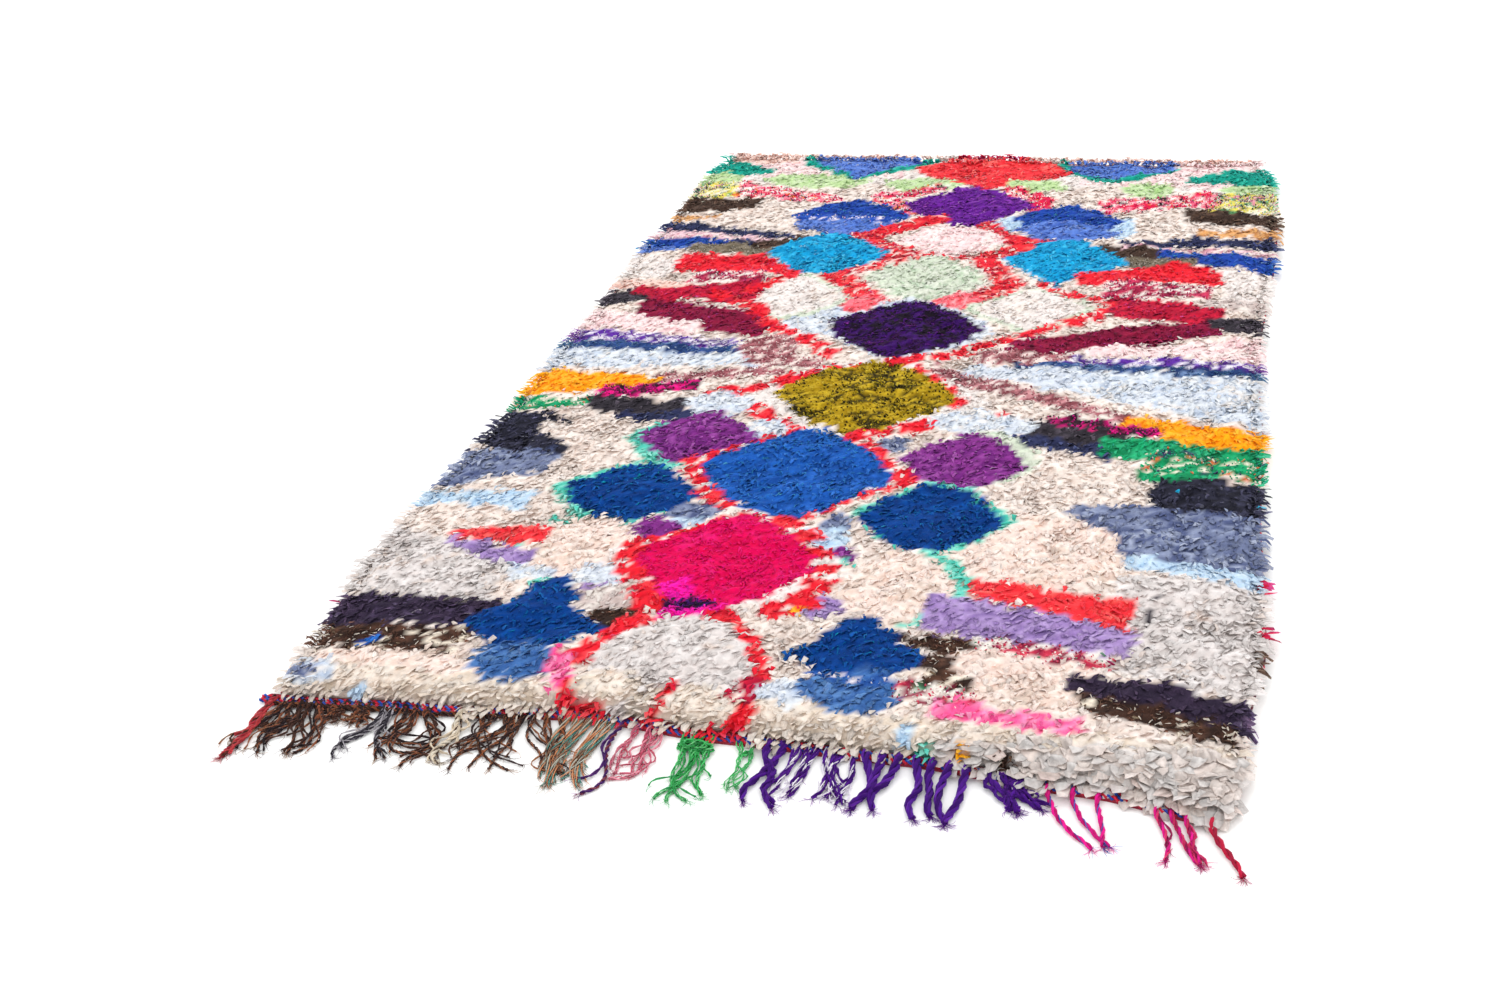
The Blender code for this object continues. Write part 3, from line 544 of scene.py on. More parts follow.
def heightGrid(step=0.006):
    # The pile's height over the rug, read off the slab on a grid; 0 beyond it
    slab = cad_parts["rug_pile"]
    low, high = cadBox
    xs = np.arange(low.x - step, high.x + step, step)
    ys = np.arange(low.y - step, high.y + step, step)
    heights = np.zeros((len(xs), len(ys)))
    for i, x in enumerate(xs):
        for j, y in enumerate(ys):
            hit, place, _, _ = slab.ray_cast(Vector((x, y, 0.2)), Vector((0, 0, -1)))
            heights[i, j] = place.z if hit else 0.0
    return xs, ys, heights


xs, ys, heights = heightGrid()


def pileHeight(x, y):
    i = np.clip(np.round((x - xs[0]) / (xs[1] - xs[0])).astype(int), 0, len(xs) - 1)
    j = np.clip(np.round((y - ys[0]) / (ys[1] - ys[0])).astype(int), 0, len(ys) - 1)
    return heights[i, j]


print("frame read:", len(outline), "corners,", heights.size, "heights")


# How the rags are cut, in metres. A tuft bends over from its root, and its sections say how

Section = namedtuple("Section", "along width thick bend")
petalSections = (
    Section(0.00, 0.50, 0.10, 0),
    Section(0.28, 0.92, 0.08, 38),
    Section(0.64, 1.00, 0.07, 70),
    Section(1.00, 0.66, 0.03, 92),
)
leafSections = (
    Section(0.00, 0.56, 0.17, 0),
    Section(0.32, 1.00, 0.12, 38),
    Section(0.70, 0.90, 0.09, 70),
    Section(1.00, 0.46, 0.06, 94),
)
stripSections = (
    Section(0.00, 0.70, 0.26, 0),
    Section(0.50, 1.00, 0.19, 46),
    Section(1.00, 0.46, 0.08, 86),
)
stubSections = (
    Section(0.00, 0.80, 0.80, 0),
    Section(1.00, 0.74, 0.62, 46),
)
Cut = namedtuple("Cut", "sections spacing width length lean wander curl hollow")
cuts = {
    "petal": Cut(petalSections, 0.0118, 0.0225, 0.036, 14, 28, 16, 0.6),
    "flake": Cut(leafSections, 0.0100, 0.0122, 0.030, 14, 28, 24, 0.4),
    "crumb": Cut(leafSections, 0.0098, 0.0104, 0.0255, 14, 34, 28, 0.3),
    "strip": Cut(stripSections, 0.0090, 0.0090, 0.0255, 14, 38, 24, 0.2),
    "shred": Cut(stripSections, 0.0066, 0.0055, 0.022, 16, 50, 30, 0.2),
    "fleck": Cut(stubSections, 0.0062, 0.0050, 0.016, 12, 80, 30, 0.0),
    "yarn": Cut(stripSections, 0.0060, 0.0034, 0.018, 12, 70, 50, 0.0),
}
tuftSettings = {
    "variants": 10,
    "rootShare": 0.52,
    "tip": (0.86, 1.10),
    "overhang": 0.010,
    "farOverhang": 0.004,
    "farTurn": 0.3,
    "facingEnd": 0.7,
    "farFrom": 1.22,
    "nearFrom": -1.19,
    "combed": 34,
    "combedSize": 0.11,
    "leanSway": 9,
    "rimLean": 18,
    "rollSway": 14,
    "sizes": (0.82, 1.22),
    "widths": (0.80, 1.20),
    "stretch": (0.55, 1.7),
    "patches": 0.35,
    "patchyFrom": 0.25,
    "overhangSway": 0.012,
    "nearOverhang": 0.030,
    "nearOverhangLeft": 0.016,
    "coveredFrom": -0.40,
    "drapeStart": 0.012,
    "drapeLength": 0.055,
    "drapeLowest": 0.30,
    "lowest": 0.024,
    "lowestFar": 0.034,
    "rimWidth": 0.016,
    "rootInset": 0.005,
    "nearRootInset": -0.012,
    "farRootInset": 0.001,
    "raggedAcross": 0.007,
    "raggedAlong": 0.013,
    "raggedSize": 0.026,
    "facesPerPiece": 170000,
}
# Each tuft and each ply has its own small cell of the map: the cell's empty edge and what is inside it
cellEdge, cellInner = 0.14, 0.72


def makeTuft(cut, spread):
    # One cut rag: a three-sided ring that grows up from its root, bends over to -Y and narrows
    bm = bmesh.new()
    ring = bmesh.ops.create_circle(bm, cap_ends=False, segments=3, radius=0.5)["verts"]
    edges = bm.edges[:]
    first = cut.sections[0]
    hollow = -1 if spread.random() < cut.hollow else 1
    bmesh.ops.scale(bm, vec=(first.width * cut.width, first.thick * cut.width * hollow, 1), verts=ring)
    place, turned = Vector((0, 0, 0)), 0.0
    bending = spread.uniform(0.65, 1.25)
    rows = [0.0] * len(ring)
    for before, after in zip(cut.sections, cut.sections[1:]):
        grown = bmesh.ops.extrude_edge_only(bm, edges=edges)["geom"]
        ring = [item for item in grown if isinstance(item, bmesh.types.BMVert)]
        near = {edge for v in ring for edge in v.link_edges}
        edges = [edge for edge in near if all(v in ring for v in edge.verts)]
        step = (after.along - before.along) * cut.length
        heading = math.radians((before.bend + after.bend) / 2 * bending)
        move = Vector((spread.uniform(-0.10, 0.10), -math.sin(heading), math.cos(heading))) * step
        turn = math.radians(after.bend * bending) - turned
        wider, thicker = after.width / before.width, after.thick / before.thick
        here = Matrix.Translation(-place)
        bmesh.ops.rotate(bm, cent=place, matrix=Matrix.Rotation(-turned, 3, "X"), verts=ring)
        bmesh.ops.scale(bm, vec=(wider * spread.uniform(0.85, 1.15), thicker, 1), space=here, verts=ring)
        bmesh.ops.rotate(bm, cent=place, matrix=Matrix.Rotation(turned + turn, 3, "X"), verts=ring)
        curl = math.radians(spread.uniform(-cut.curl, cut.curl))
        axis = Vector((0, -math.sin(turned + turn), math.cos(turned + turn)))
        bmesh.ops.rotate(bm, cent=place, matrix=Matrix.Rotation(curl, 3, axis), verts=ring)
        bmesh.ops.translate(bm, vec=move, verts=ring)
        for corner in ring:
            corner.co.x += spread.uniform(-0.08, 0.08) * cut.width
        place, turned = place + move, turned + turn
        rows += [after.along] * len(ring)
    for corner in ring:
        corner.co += axis * spread.uniform(-0.14, 0.16) * cut.length
    bmesh.ops.holes_fill(bm, edges=[edge for edge in bm.edges if edge.is_boundary])
    bmesh.ops.recalc_face_normals(bm, faces=bm.faces)
    bmesh.ops.triangulate(bm, faces=bm.faces)
    bm.verts.index_update()
    points = np.array([v.co for v in bm.verts])
    triangles = np.array([[v.index for v in face.verts] for face in bm.faces])
    bm.free()
    across = points[:, 0] / max(np.ptp(points[:, 0]), 1e-6) + 0.5
    return points, triangles, np.array(rows), across


def overhangAt(x, wayOut):
    # How far tufts hang out past the ground: further at the near end, where they cover the heading
    onLeft = x < tuftSettings["coveredFrom"]
    near = np.where(onLeft, tuftSettings["nearOverhangLeft"], tuftSettings["nearOverhang"])
    near = near + tuftSettings["overhangSway"] * noiseAt(x, x * 0, 0.045, 9.2)
    far = np.where(wayOut[:, 1] > tuftSettings["facingEnd"], tuftSettings["farOverhang"], tuftSettings["overhang"])
    return np.where(wayOut[:, 1] < -tuftSettings["facingEnd"], near, far)


def raggedChart(x, y, rng):
    # The cloth's number at each place, with the chart's edges made ragged, most of all along the rug
    size = tuftSettings["raggedSize"]
    sway = noiseAt(x, y, size, 3.3) + rng.normal(0, 0.30, len(x))
    surge = noiseAt(x, y, size, 8.1) + rng.normal(0, 0.30, len(x))
    return chartedCloth(x + tuftSettings["raggedAcross"] * sway, y + tuftSettings["raggedAlong"] * surge)


def tuftPlaces(cutName, cut, rng):
    # Where tufts of this cut show: a jittered grid of places, kept where the chart calls for this cut
    low, high = cadBox
    across = np.arange(low.x, high.x, cut.spacing)
    along = np.arange(low.y, high.y, cut.spacing)
    x, y = (grid.ravel() for grid in np.meshgrid(across, along))
    x = x + (np.arange(len(x)) // len(across) % 2) * cut.spacing / 2
    x = x + rng.uniform(-0.42, 0.42, len(x)) * cut.spacing
    y = y + rng.uniform(-0.42, 0.42, len(y)) * cut.spacing
    inside, wayOut = edgeOf(x, y)
    kept = inside > -overhangAt(x, wayOut)
    x, y = x[kept], y[kept]
    cloth = raggedChart(x, y, rng)
    wanted = np.array([cloths[name].cut == cutName for name in cloths])[cloth]
    return x[wanted], y[wanted], cloth[wanted]


def turned(points, yaw, lean, roll):
    # Each tuft's points, tipped forward by lean, rolled about Y and turned about Z
    cosL, sinL = np.cos(lean)[:, None], np.sin(lean)[:, None]
    x, y, z = points[..., 0], points[..., 1], points[..., 2]
    y, z = y * cosL - z * sinL, y * sinL + z * cosL
    cosR, sinR = np.cos(roll)[:, None], np.sin(roll)[:, None]
    x, z = x * cosR + z * sinR, z * cosR - x * sinR
    cosY, sinY = np.cos(yaw)[:, None], np.sin(yaw)[:, None]
    return np.stack([x * cosY - y * sinY, x * sinY + y * cosY, z], -1)


def layTufts(cutName, cut, seed):
    # All tufts of one cut, as arrays of points, triangles, colours and map places, far end first
    rng, spread = np.random.default_rng(seed), random.Random(seed)
    shapes = [makeTuft(cut, spread) for _ in range(tuftSettings["variants"])]
    x, y, cloth = tuftPlaces(cutName, cut, rng)
    order = np.argsort(-y)
    x, y, cloth = x[order], y[order], cloth[order]
    count = len(x)
    inside, wayOut = edgeOf(x, y)
    combed = tuftSettings["combed"] * noiseAt(x, y, tuftSettings["combedSize"], 1.7)
    heading = np.radians(-90 + combed + rng.normal(0, cut.wander * 0.6, count))
    way = np.stack([np.cos(heading), np.sin(heading)], 1)
    atRim = np.clip(1 - (inside + overhangAt(x, wayOut)) / (tuftSettings["rimWidth"] + 0.01), 0, 1)
    atRim = (atRim * np.where(wayOut[:, 1] > tuftSettings["facingEnd"], tuftSettings["farTurn"], 1))[:, None]
    way = way * (1 - atRim) + wayOut * atRim * 1.4
    way /= np.linalg.norm(way, axis=1)[:, None]
    yaw = np.arctan2(way[:, 1], way[:, 0]) + math.pi / 2
    unevenLean = rng.normal(0, tuftSettings["leanSway"], count)
    lean = np.radians(cut.lean + unevenLean + tuftSettings["rimLean"] * atRim[:, 0])
    roll = np.radians(rng.normal(0, tuftSettings["rollSway"], count))
    size = rng.uniform(*tuftSettings["sizes"], count)
    wide = size * rng.uniform(*tuftSettings["widths"], count)
    variant = rng.integers(0, len(shapes), count)
    top = pileHeight(x, y)
    top = np.maximum(top, np.where(y > tuftSettings["farFrom"], tuftSettings["lowestFar"], tuftSettings["lowest"]))
    drape = 1 + (inside - tuftSettings["drapeStart"]) / tuftSettings["drapeLength"]
    top = np.where(y < tuftSettings["nearFrom"], top * np.clip(drape, tuftSettings["drapeLowest"], 1), top)
    ground = top * tuftSettings["rootShare"]
    top = top * rng.uniform(*tuftSettings["tip"], count)
    colours = np.zeros((count, 3))
    patches = tuftSettings["patches"] if cut.hollow > tuftSettings["patchyFrom"] else 0.0
    draws = 0.5 + patches * noiseAt(x, y, 0.06, 6.6) + rng.uniform(-0.5, 0.5, count) * (1 - patches * 0.3)
    draws = np.clip(draws, 0, 0.999)
    for number, name in enumerate(cloths):
        mine = cloth == number
        if mine.any():
            colours[mine] = mixOf(cloths[name].shades, draws[mine])
    colours *= (1 + rng.normal(0, 0.05, count) + 0.06 * noiseAt(x, y, 0.07, 5.5))[:, None]
    parts = []
    cells = math.ceil(math.sqrt(count))
    for number, (points, triangles, rows, across) in enumerate(shapes):
        mine = np.flatnonzero(variant == number)
        laid = np.repeat(points[None], len(mine), axis=0)
        laid[..., 0] *= wide[mine, None]
        laid[..., 1:] *= size[mine, None, None]
        laid = turned(laid, yaw[mine], lean[mine], roll[mine])
        tall = (top[mine] - ground[mine]) / laid[..., 2].max(1)
        laid[..., 2] *= np.clip(tall, *tuftSettings["stretch"])[:, None]
        middle = laid[:, rows > 0.4, :2].mean(1)
        root = np.stack([x[mine], y[mine]], 1) - middle
        rootInside, rootOut = edgeOf(root[:, 0], root[:, 1])
        outward = rootOut[:, 1]
        inset = np.where(outward > tuftSettings["facingEnd"], tuftSettings["farRootInset"], tuftSettings["rootInset"])
        inset = np.where(outward < -tuftSettings["facingEnd"], tuftSettings["nearRootInset"], inset)
        short = np.clip(inset - rootInside, 0, None)
        root -= rootOut * short[:, None]
        laid[..., :2] += root[:, None]
        laid[..., 2] = np.maximum(laid[..., 2] + ground[mine, None], 0.0006)
        tint = np.concatenate([
            np.repeat(colours[mine, None], len(points), axis=1),
            np.broadcast_to(rows[None, :, None], (len(mine), len(points), 1)),
        ], axis=2)
        cell = np.stack([mine % cells, mine // cells], 1)[:, None]
        uv = (cell + cellEdge + cellInner * np.stack([across, rows], 1)[None]) / cells
        aside = np.broadcast_to(across[None, :, None], (len(mine), len(points), 1))
        parts.append((mine, laid, triangles, tint, uv, aside))
    return parts, count


def joinTufts(parts, wanted):
    # Joins the wanted tufts into one set of arrays
    points, triangles, tints, uvs, asides, so = [], [], [], [], [], 0
    for mine, laid, faces, tint, uv, aside in parts:
        some = wanted[mine]
        laid, tint, uv = laid[some], tint[some], uv[some]
        asides.append(aside[some].reshape(-1))
        each = laid.shape[1]
        starts = so + np.arange(len(laid)) * each
        triangles.append((faces[None] + starts[:, None, None]).reshape(-1, 3))
        points.append(laid.reshape(-1, 3))
        tints.append(tint.reshape(-1, 4))
        uvs.append(uv.reshape(-1, 2))
        so += len(laid) * each
    return [np.concatenate(each) for each in (points, triangles, tints, uvs, asides)]


# Materials

def ragMaterial(name, weaveMm, weaveDepth, rootShade, sheen, creases=0.0):
    # Worn cotton and jersey, cut by hand: matt and a little fuzzy. Painted shade darkens the roots, where tufts shade
    # each other, and the creases across each tuft
    material = bpy.data.materials.new(name)
    material.use_nodes = True
    tree = material.node_tree
    shader = tree.nodes["Principled BSDF"]
    colour = addNode(tree, "Attribute", {"attribute_name": "ragColour"})
    place = addNode(tree, "TexCoord")
    blotch = addNode(tree, "TexNoise", {"Scale": 90.0, "Detail": 3.0}, {"Vector": place.outputs["Object"]})
    wash = addNode(tree, "MapRange", {"From Min": 0.3, "From Max": 0.7, "To Min": 0.86, "To Max": 1.12},
                   {"Value": blotch.outputs["Fac"]})
    root = addNode(tree, "MapRange", {"From Min": 0.0, "From Max": 0.55, "To Min": rootShade, "To Max": 1.0},
                   {"Value": colour.outputs["Alpha"]})
    across = addNode(tree, "Attribute", {"attribute_name": "ragAcross"})
    sway = addNode(tree, "TexNoise", {"Scale": 70.0, "Detail": 1.0}, {"Vector": place.outputs["Object"]})
    drift = addNode(tree, "Math", {"operation": "MULTIPLY", 1: 11.0}, {0: sway.outputs["Fac"]})
    phase = addNode(tree, "Math", {"operation": "MULTIPLY_ADD", 1: creases * 2 * math.pi},
                    {0: across.outputs["Fac"], 2: drift.outputs[0]})
    crease = addNode(tree, "Math", {"operation": "SINE"}, {0: phase.outputs[0]})
    # Painted shade in the creases across each tuft, which also drive the bump; on pieces without ragAcross it falls
    # in blotches
    creaseShade = addNode(tree, "MapRange", {"From Min": -1.0, "From Max": 0.2, "To Min": 0.90, "To Max": 1.0},
                   {"Value": crease.outputs[0]})
    creaseAndRootShade = addNode(tree, "Math", {"operation": "MULTIPLY"}, {0: creaseShade.outputs[0], 1: root.outputs[0]})
    both = addNode(tree, "Math", {"operation": "MULTIPLY"}, {0: wash.outputs[0], 1: creaseAndRootShade.outputs[0]})
    tint = addNode(tree, "VectorMath", {"operation": "SCALE"},
                   {0: colour.outputs["Color"], "Scale": both.outputs[0]})
    tree.links.new(tint.outputs[0], shader.inputs["Base Color"])
    weave = addNode(tree, "TexNoise", {"Scale": 1000 / weaveMm, "Detail": 2.0, "Roughness": 0.6},
                    {"Vector": place.outputs["Object"]})
    relief = addNode(tree, "Math", {"operation": "MULTIPLY_ADD", 1: 0.45},
                     {0: crease.outputs[0], 2: weave.outputs["Fac"]})
    bump = addNode(tree, "Bump", {"Strength": 0.6, "Distance": weaveDepth}, {"Height": relief.outputs[0]})
    tree.links.new(bump.outputs[0], shader.inputs["Normal"])
    shader.inputs["Roughness"].default_value = 0.92
    shader.inputs["Subsurface Weight"].default_value = 0.45
    shader.inputs["Subsurface Radius"].default_value = (1, 1, 1)
    shader.inputs["Subsurface Scale"].default_value = 0.009
    shader.inputs["Specular IOR Level"].default_value = 0.06
    shader.inputs["Sheen Weight"].default_value = sheen
    shader.inputs["Sheen Roughness"].default_value = 0.6
    return material


ragCloth = ragMaterial("cotton rag, torn and hand cut", 2.4, 0.0008, 0.90, 0.015, 2.6)
jerseyCloth = ragMaterial("jersey rag, hand cut strips", 1.6, 0.0006, 0.84, 0.015, 2.0)
yarnCloth = ragMaterial("wool yarn, cut pile", 1.0, 0.0006, 0.66, 0.02, 1.0)
clothOf = {"petal": ragCloth, "flake": ragCloth, "crumb": jerseyCloth, "strip": jerseyCloth,
           "shred": yarnCloth, "fleck": jerseyCloth, "yarn": yarnCloth}


# The pile

pilePieces, totalFaces = [], 0
for seed, (cutName, cut) in enumerate(cuts.items()):
    parts, count = layTufts(cutName, cut, 100 + seed)
    if not count:
        continue
    eachFaces = len(parts[0][2])
    pieces = max(1, math.ceil(count * eachFaces / tuftSettings["facesPerPiece"]))
    for number in range(pieces):
        wanted = np.arange(count) * pieces // count == number
        mesh = meshFromArrays(f"{cutName}_tufts_{number + 1}", *joinTufts(parts, wanted))
        piece = showPiece(mesh.name, mesh, clothOf[cutName], smooth=False)
        pilePieces.append(piece)
    totalFaces += count * eachFaces
    print("pile:", cutName, count, "tufts,", count * eachFaces, "triangles")
print("pile in all:", totalFaces, "triangles")


# The ground weave under the pile

groundSettings = {"cellsAcross": 40, "cellsAlong": 74, "thickness": 0.0046, "inset": 0.0006,
                  "left": -0.695, "width": 1.385, "shade": 0.5}


def groundPlace(across, along, inset):
    # A place on the rug from shares 0 to 1 across and along it, read off the outline
    x = groundSettings["left"] + groundSettings["width"] * across
    low, high = np.interp(x, nearSide[:, 0], nearSide[:, 1]), np.interp(x, farSide[:, 0], farSide[:, 1])
    y = low + inset + (high - low - 2 * inset) * along
    first = np.interp(y, leftSide[:, 1], leftSide[:, 0])
    last = np.interp(y, rightSide[:, 1], rightSide[:, 0])
    return first + inset + (last - first - 2 * inset) * across, y


def makeGround():
    bm = bmesh.new()
    bmesh.ops.create_grid(bm, x_segments=groundSettings["cellsAcross"],
                          y_segments=groundSettings["cellsAlong"], size=1.0)
    corners = np.array([v.co for v in bm.verts])
    x, y = groundPlace((corners[:, 0] + 1) / 2, (corners[:, 1] + 1) / 2, groundSettings["inset"])
    for v, placeX, placeY in zip(bm.verts, x, y):
        v.co = (placeX, placeY, 0.0)
    bmesh.ops.solidify(bm, geom=bm.faces[:], thickness=-groundSettings["thickness"])
    bmesh.ops.recalc_face_normals(bm, faces=bm.faces)
    mesh = bpy.data.meshes.new("ground_weave")
    bm.to_mesh(mesh)
    bm.free()
    return mesh


def chartTint(x, y, seed):
    # The cloth's colour at each place, drawn from its shades
    rng = np.random.default_rng(seed)
    cloth = raggedChart(x, y, rng)
    draws = np.clip(0.5 + 0.55 * noiseAt(x, y, 0.06, 6.6) + rng.uniform(-0.3, 0.3, len(x)), 0, 0.999)
    tint = np.zeros((len(x), 3))
    for number, name in enumerate(cloths):
        mine = cloth == number
        if mine.any():
            tint[mine] = mixOf(cloths[name].shades, draws[mine])
    return tint


def paint(mesh, tint):
    layer = mesh.color_attributes.new("ragColour", "FLOAT_COLOR", "POINT")
    layer.data.foreach_set("color", np.column_stack([tint, np.ones(len(tint))]).astype(np.float32).ravel())


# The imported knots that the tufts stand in, a lumpy bed a little lower than their tips

bedSettings = {"cellsAcross": 120, "cellsAlong": 218, "height": 0.92, "rough": 0.0020, "roughSize": 0.012,
               "inset": 0.003, "shade": 0.97, "jitter": 0.0025, "lowest": 0.018, "rimHeight": 0.005,
               "rimSlope": 0.9}


def makeBed():
    bm = bmesh.new()
    bmesh.ops.create_grid(bm, x_segments=bedSettings["cellsAcross"],
                          y_segments=bedSettings["cellsAlong"], size=1.0)
    rng = np.random.default_rng(9)
    corners = np.array([v.co for v in bm.verts])
    onRim = np.array([v.is_boundary for v in bm.verts])
    x, y = groundPlace((corners[:, 0] + 1) / 2, (corners[:, 1] + 1) / 2, bedSettings["inset"])
    jitter = rng.uniform(-bedSettings["jitter"], bedSettings["jitter"], (2, len(x))) * ~onRim
    x, y = x + jitter[0], y + jitter[1]
    inside, _ = edgeOf(x, y)
    lumps = noiseAt(x, y, bedSettings["roughSize"], 2.2) * 1.4 + rng.uniform(-0.7, 0.7, len(x))
    high = bedSettings["height"] * np.maximum(pileHeight(x, y), bedSettings["lowest"])
    rim = bedSettings["rimHeight"] + bedSettings["rimSlope"] * inside
    high = np.minimum(high + bedSettings["rough"] * lumps, rim)
    for v, placeX, placeY, placeZ in zip(bm.verts, x, y, high):
        v.co = (placeX, placeY, placeZ)
    rim = [edge for edge in bm.edges if edge.is_boundary]
    made = bmesh.ops.extrude_edge_only(bm, edges=rim)["geom"]
    for v in made:
        if isinstance(v, bmesh.types.BMVert):
            v.co.z = groundSettings["thickness"]
    bmesh.ops.holes_fill(bm, edges=[edge for edge in bm.edges if edge.is_boundary])
    bmesh.ops.recalc_face_normals(bm, faces=bm.faces)
    mesh = bpy.data.meshes.new("packed_knots")
    bm.to_mesh(mesh)
    bm.free()
    return mesh


def meshSpots(mesh):
    spots = np.empty(len(mesh.vertices) * 3, np.float32)
    mesh.vertices.foreach_get("co", spots)
    return spots.reshape(-1, 3)


groundCloth = ragMaterial("plain woven ground", 1.4, 0.0005, 0.5, 0.1)
groundMesh = makeGround()
groundSpots = meshSpots(groundMesh)
# The ground takes the pile's colours at half brightness (its shade setting); where it shows between tufts this is
# painted shade under the pile
paint(groundMesh, chartTint(groundSpots[:, 0], groundSpots[:, 1], 5) * groundSettings["shade"])
ground = showPiece("ground_weave", groundMesh, groundCloth, smooth=False)
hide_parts("rug_pile")

bedMesh = makeBed()
bedSpots = meshSpots(bedMesh)
# The bed takes the pile's colours a little darker (its shade setting): painted shade below the tufts' tips
paint(bedMesh, chartTint(bedSpots[:, 0], bedSpots[:, 1], 6) * bedSettings["shade"])
bed = showPiece("packed_knots", bedMesh, ragCloth, smooth=False)
print("bed:", len(bedMesh.polygons), "faces")


# Yarns: cords at the edges and the fringe. Radii, spread and pitch are in millimetres

Yarn = namedtuple("Yarn", "plies pitch spread frays strays unruly", defaults=(0, 1.0))
yarns = {
    "madder tassel": Yarn((("#9c2430", 2.8), ("#b23a3e", 2.6), ("#4a241f", 2.2)), 30, 3.0, 18, 6, 1.2),
    "brown twist": Yarn((("#3b2620", 1.7), ("#7c4630", 1.4), ("#231a1c", 1.6)), 26, 1.8, 7, 5, 1.8),
    "brown knots": Yarn((("#3b2620", 1.8), ("#7a452f", 1.6), ("#2a1d1d", 1.7)), 20, 2.0, 8, 5, 2.4),
    "grey twist": Yarn((("#2f2c33", 1.7), ("#9a959c", 1.3), ("#1f1c22", 1.6)), 22, 1.9, 7, 5, 1.6),
    "ecru rag": Yarn((("#d9cdbb", 2.8), ("#cbb9a2", 2.4), ("#46332b", 1.2)), 26, 2.7, 10, 4, 2.0),
    "brown thin": Yarn((("#4a2f26", 1.5), ("#8a4f33", 1.3), ("#2a1f20", 1.4)), 22, 1.6, 6, 3, 1.9),
    "mixed bunch": Yarn((("#a3a294", 1.2), ("#c77d55", 1.1), ("#4f8a80", 1.0),
                         ("#7a5a46", 1.2)), 90, 3.0, 3, 5, 0.7),
    "violet twist": Yarn((("#43225e", 2.2), ("#6a2f3c", 2.0)), 24, 2.0, 9, 1, 1.6),
    "rose yarn": Yarn((("#d8788a", 1.5), ("#c0566e", 1.4), ("#b8405a", 1.2)), 34, 2.3, 8, 3, 1.7),
    "green yarn": Yarn((("#35a552", 1.6), ("#2b8f45", 1.5), ("#56b86a", 1.2)), 50, 2.4, 6, 2, 1.3),
    "green thin": Yarn((("#35a552", 1.1), ("#4cb364", 1.0)), 34, 1.6, 5, 2, 1.8),
    "purple yarn": Yarn((("#3a1068", 3.4), ("#48187c", 3.1)), 48, 2.8, 12, 1, 1.1),
    "purple and white": Yarn((("#3a1068", 1.9), ("#48187c", 1.8), ("#f4eef6", 1.2),
                              ("#e4dbec", 1.1)), 44, 2.4, 5, 4, 1.2),
    "purple rope": Yarn((("#380e66", 4.0), ("#44157a", 3.7), ("#52208a", 2.8)), 64, 3.5, 16, 0, 1.1),
    "purple short": Yarn((("#380e66", 3.4), ("#44157a", 3.2)), 44, 3.0, 18, 3, 2.0),
    "magenta rope": Yarn((("#d6187e", 2.6), ("#b81468", 2.4), ("#3a4fb0", 0.9)), 38, 2.3, 10, 0, 0.9),
    "magenta bunch": Yarn((("#d6187e", 2.4), ("#c22a5a", 2.1), ("#8c1a4a", 1.5)), 38, 2.2, 12, 1, 1.0),
    "madder rope": Yarn((("#b01f3c", 3.2), ("#8c1a32", 3.0)), 44, 2.7, 14, 0, 0.8),
    "twined edge": Yarn((("#c8283a", 2.6), ("#2f4fae", 2.4)), 15, 2.2, 0),
    "brown edge": Yarn((("#3b2620", 1.9), ("#6e3a26", 1.6), ("#2a1d1d", 1.8)), 30, 2.5, 6),
    "bound side": Yarn((("#b9283a", 2.3), ("#5a2f3a", 2.2)), 30, 1.9, 0),
}

# The fringe: a row for each bundle of like yarn, as in the part: first and last root across the rug,
# how many strands, how far they reach past the heading, how far their tips lean to +X
Bundle = namedtuple("Bundle", "yarn first last count reach lean")
fringe = (
    Bundle("madder tassel", -0.682, -0.682, 1, 0.123, -0.016),
    Bundle("brown twist", -0.662, -0.608, 5, 0.096, 0.004),
    Bundle("brown knots", -0.586, -0.532, 4, 0.034, -0.014),
    Bundle("grey twist", -0.509, -0.494, 2, 0.103, -0.002),
    Bundle("brown twist", -0.476, -0.440, 3, 0.107, 0.012),
    Bundle("ecru rag", -0.386, -0.386, 1, 0.093, -0.004),
    Bundle("brown thin", -0.352, -0.246, 8, 0.105, 0.008),
    Bundle("mixed bunch", -0.228, -0.162, 7, 0.133, -0.002),
    Bundle("violet twist", -0.144, -0.144, 1, 0.135, 0.010),
    Bundle("rose yarn", -0.122, -0.090, 3, 0.095, 0.018),
    Bundle("green yarn", -0.052, -0.010, 4, 0.118, 0.008),
    Bundle("green thin", 0.030, 0.050, 2, 0.090, 0.008),
    Bundle("purple yarn", 0.072, 0.090, 2, 0.110, 0.012),
    Bundle("purple and white", 0.112, 0.190, 7, 0.082, 0.010),
    Bundle("purple rope", 0.206, 0.346, 7, 0.093, 0.010),
    Bundle("purple short", 0.374, 0.420, 3, 0.042, 0.016),
    Bundle("magenta rope", 0.452, 0.520, 3, 0.088, 0.042),
    Bundle("magenta bunch", 0.592, 0.630, 3, 0.076, 0.040),
    Bundle("madder rope", 0.662, 0.662, 1, 0.092, 0.046),
)
fringeSettings = {
    "headingWidth": 0.022,
    "gap": 0.0005,
    "steps": 26,
    "waveLength": 0.040,
    "curlLength": 0.075,
    "waver": 1.0,
    "curl": 1.5,
    "straightest": 0.72,
    "uneven": 0.10,
    "leanCurve": 1.4,
    "seed": 17,
    "taper": 0.2,
    "sides": 4,
    "rootHeight": 0.0032,
    "rootBack": 0.012,
    "group": 3,
    "gather": 0.55,
    "strayWander": 0.015,
}


def nearWall(x):
    return np.interp(x, nearSide[:, 0], nearSide[:, 1])


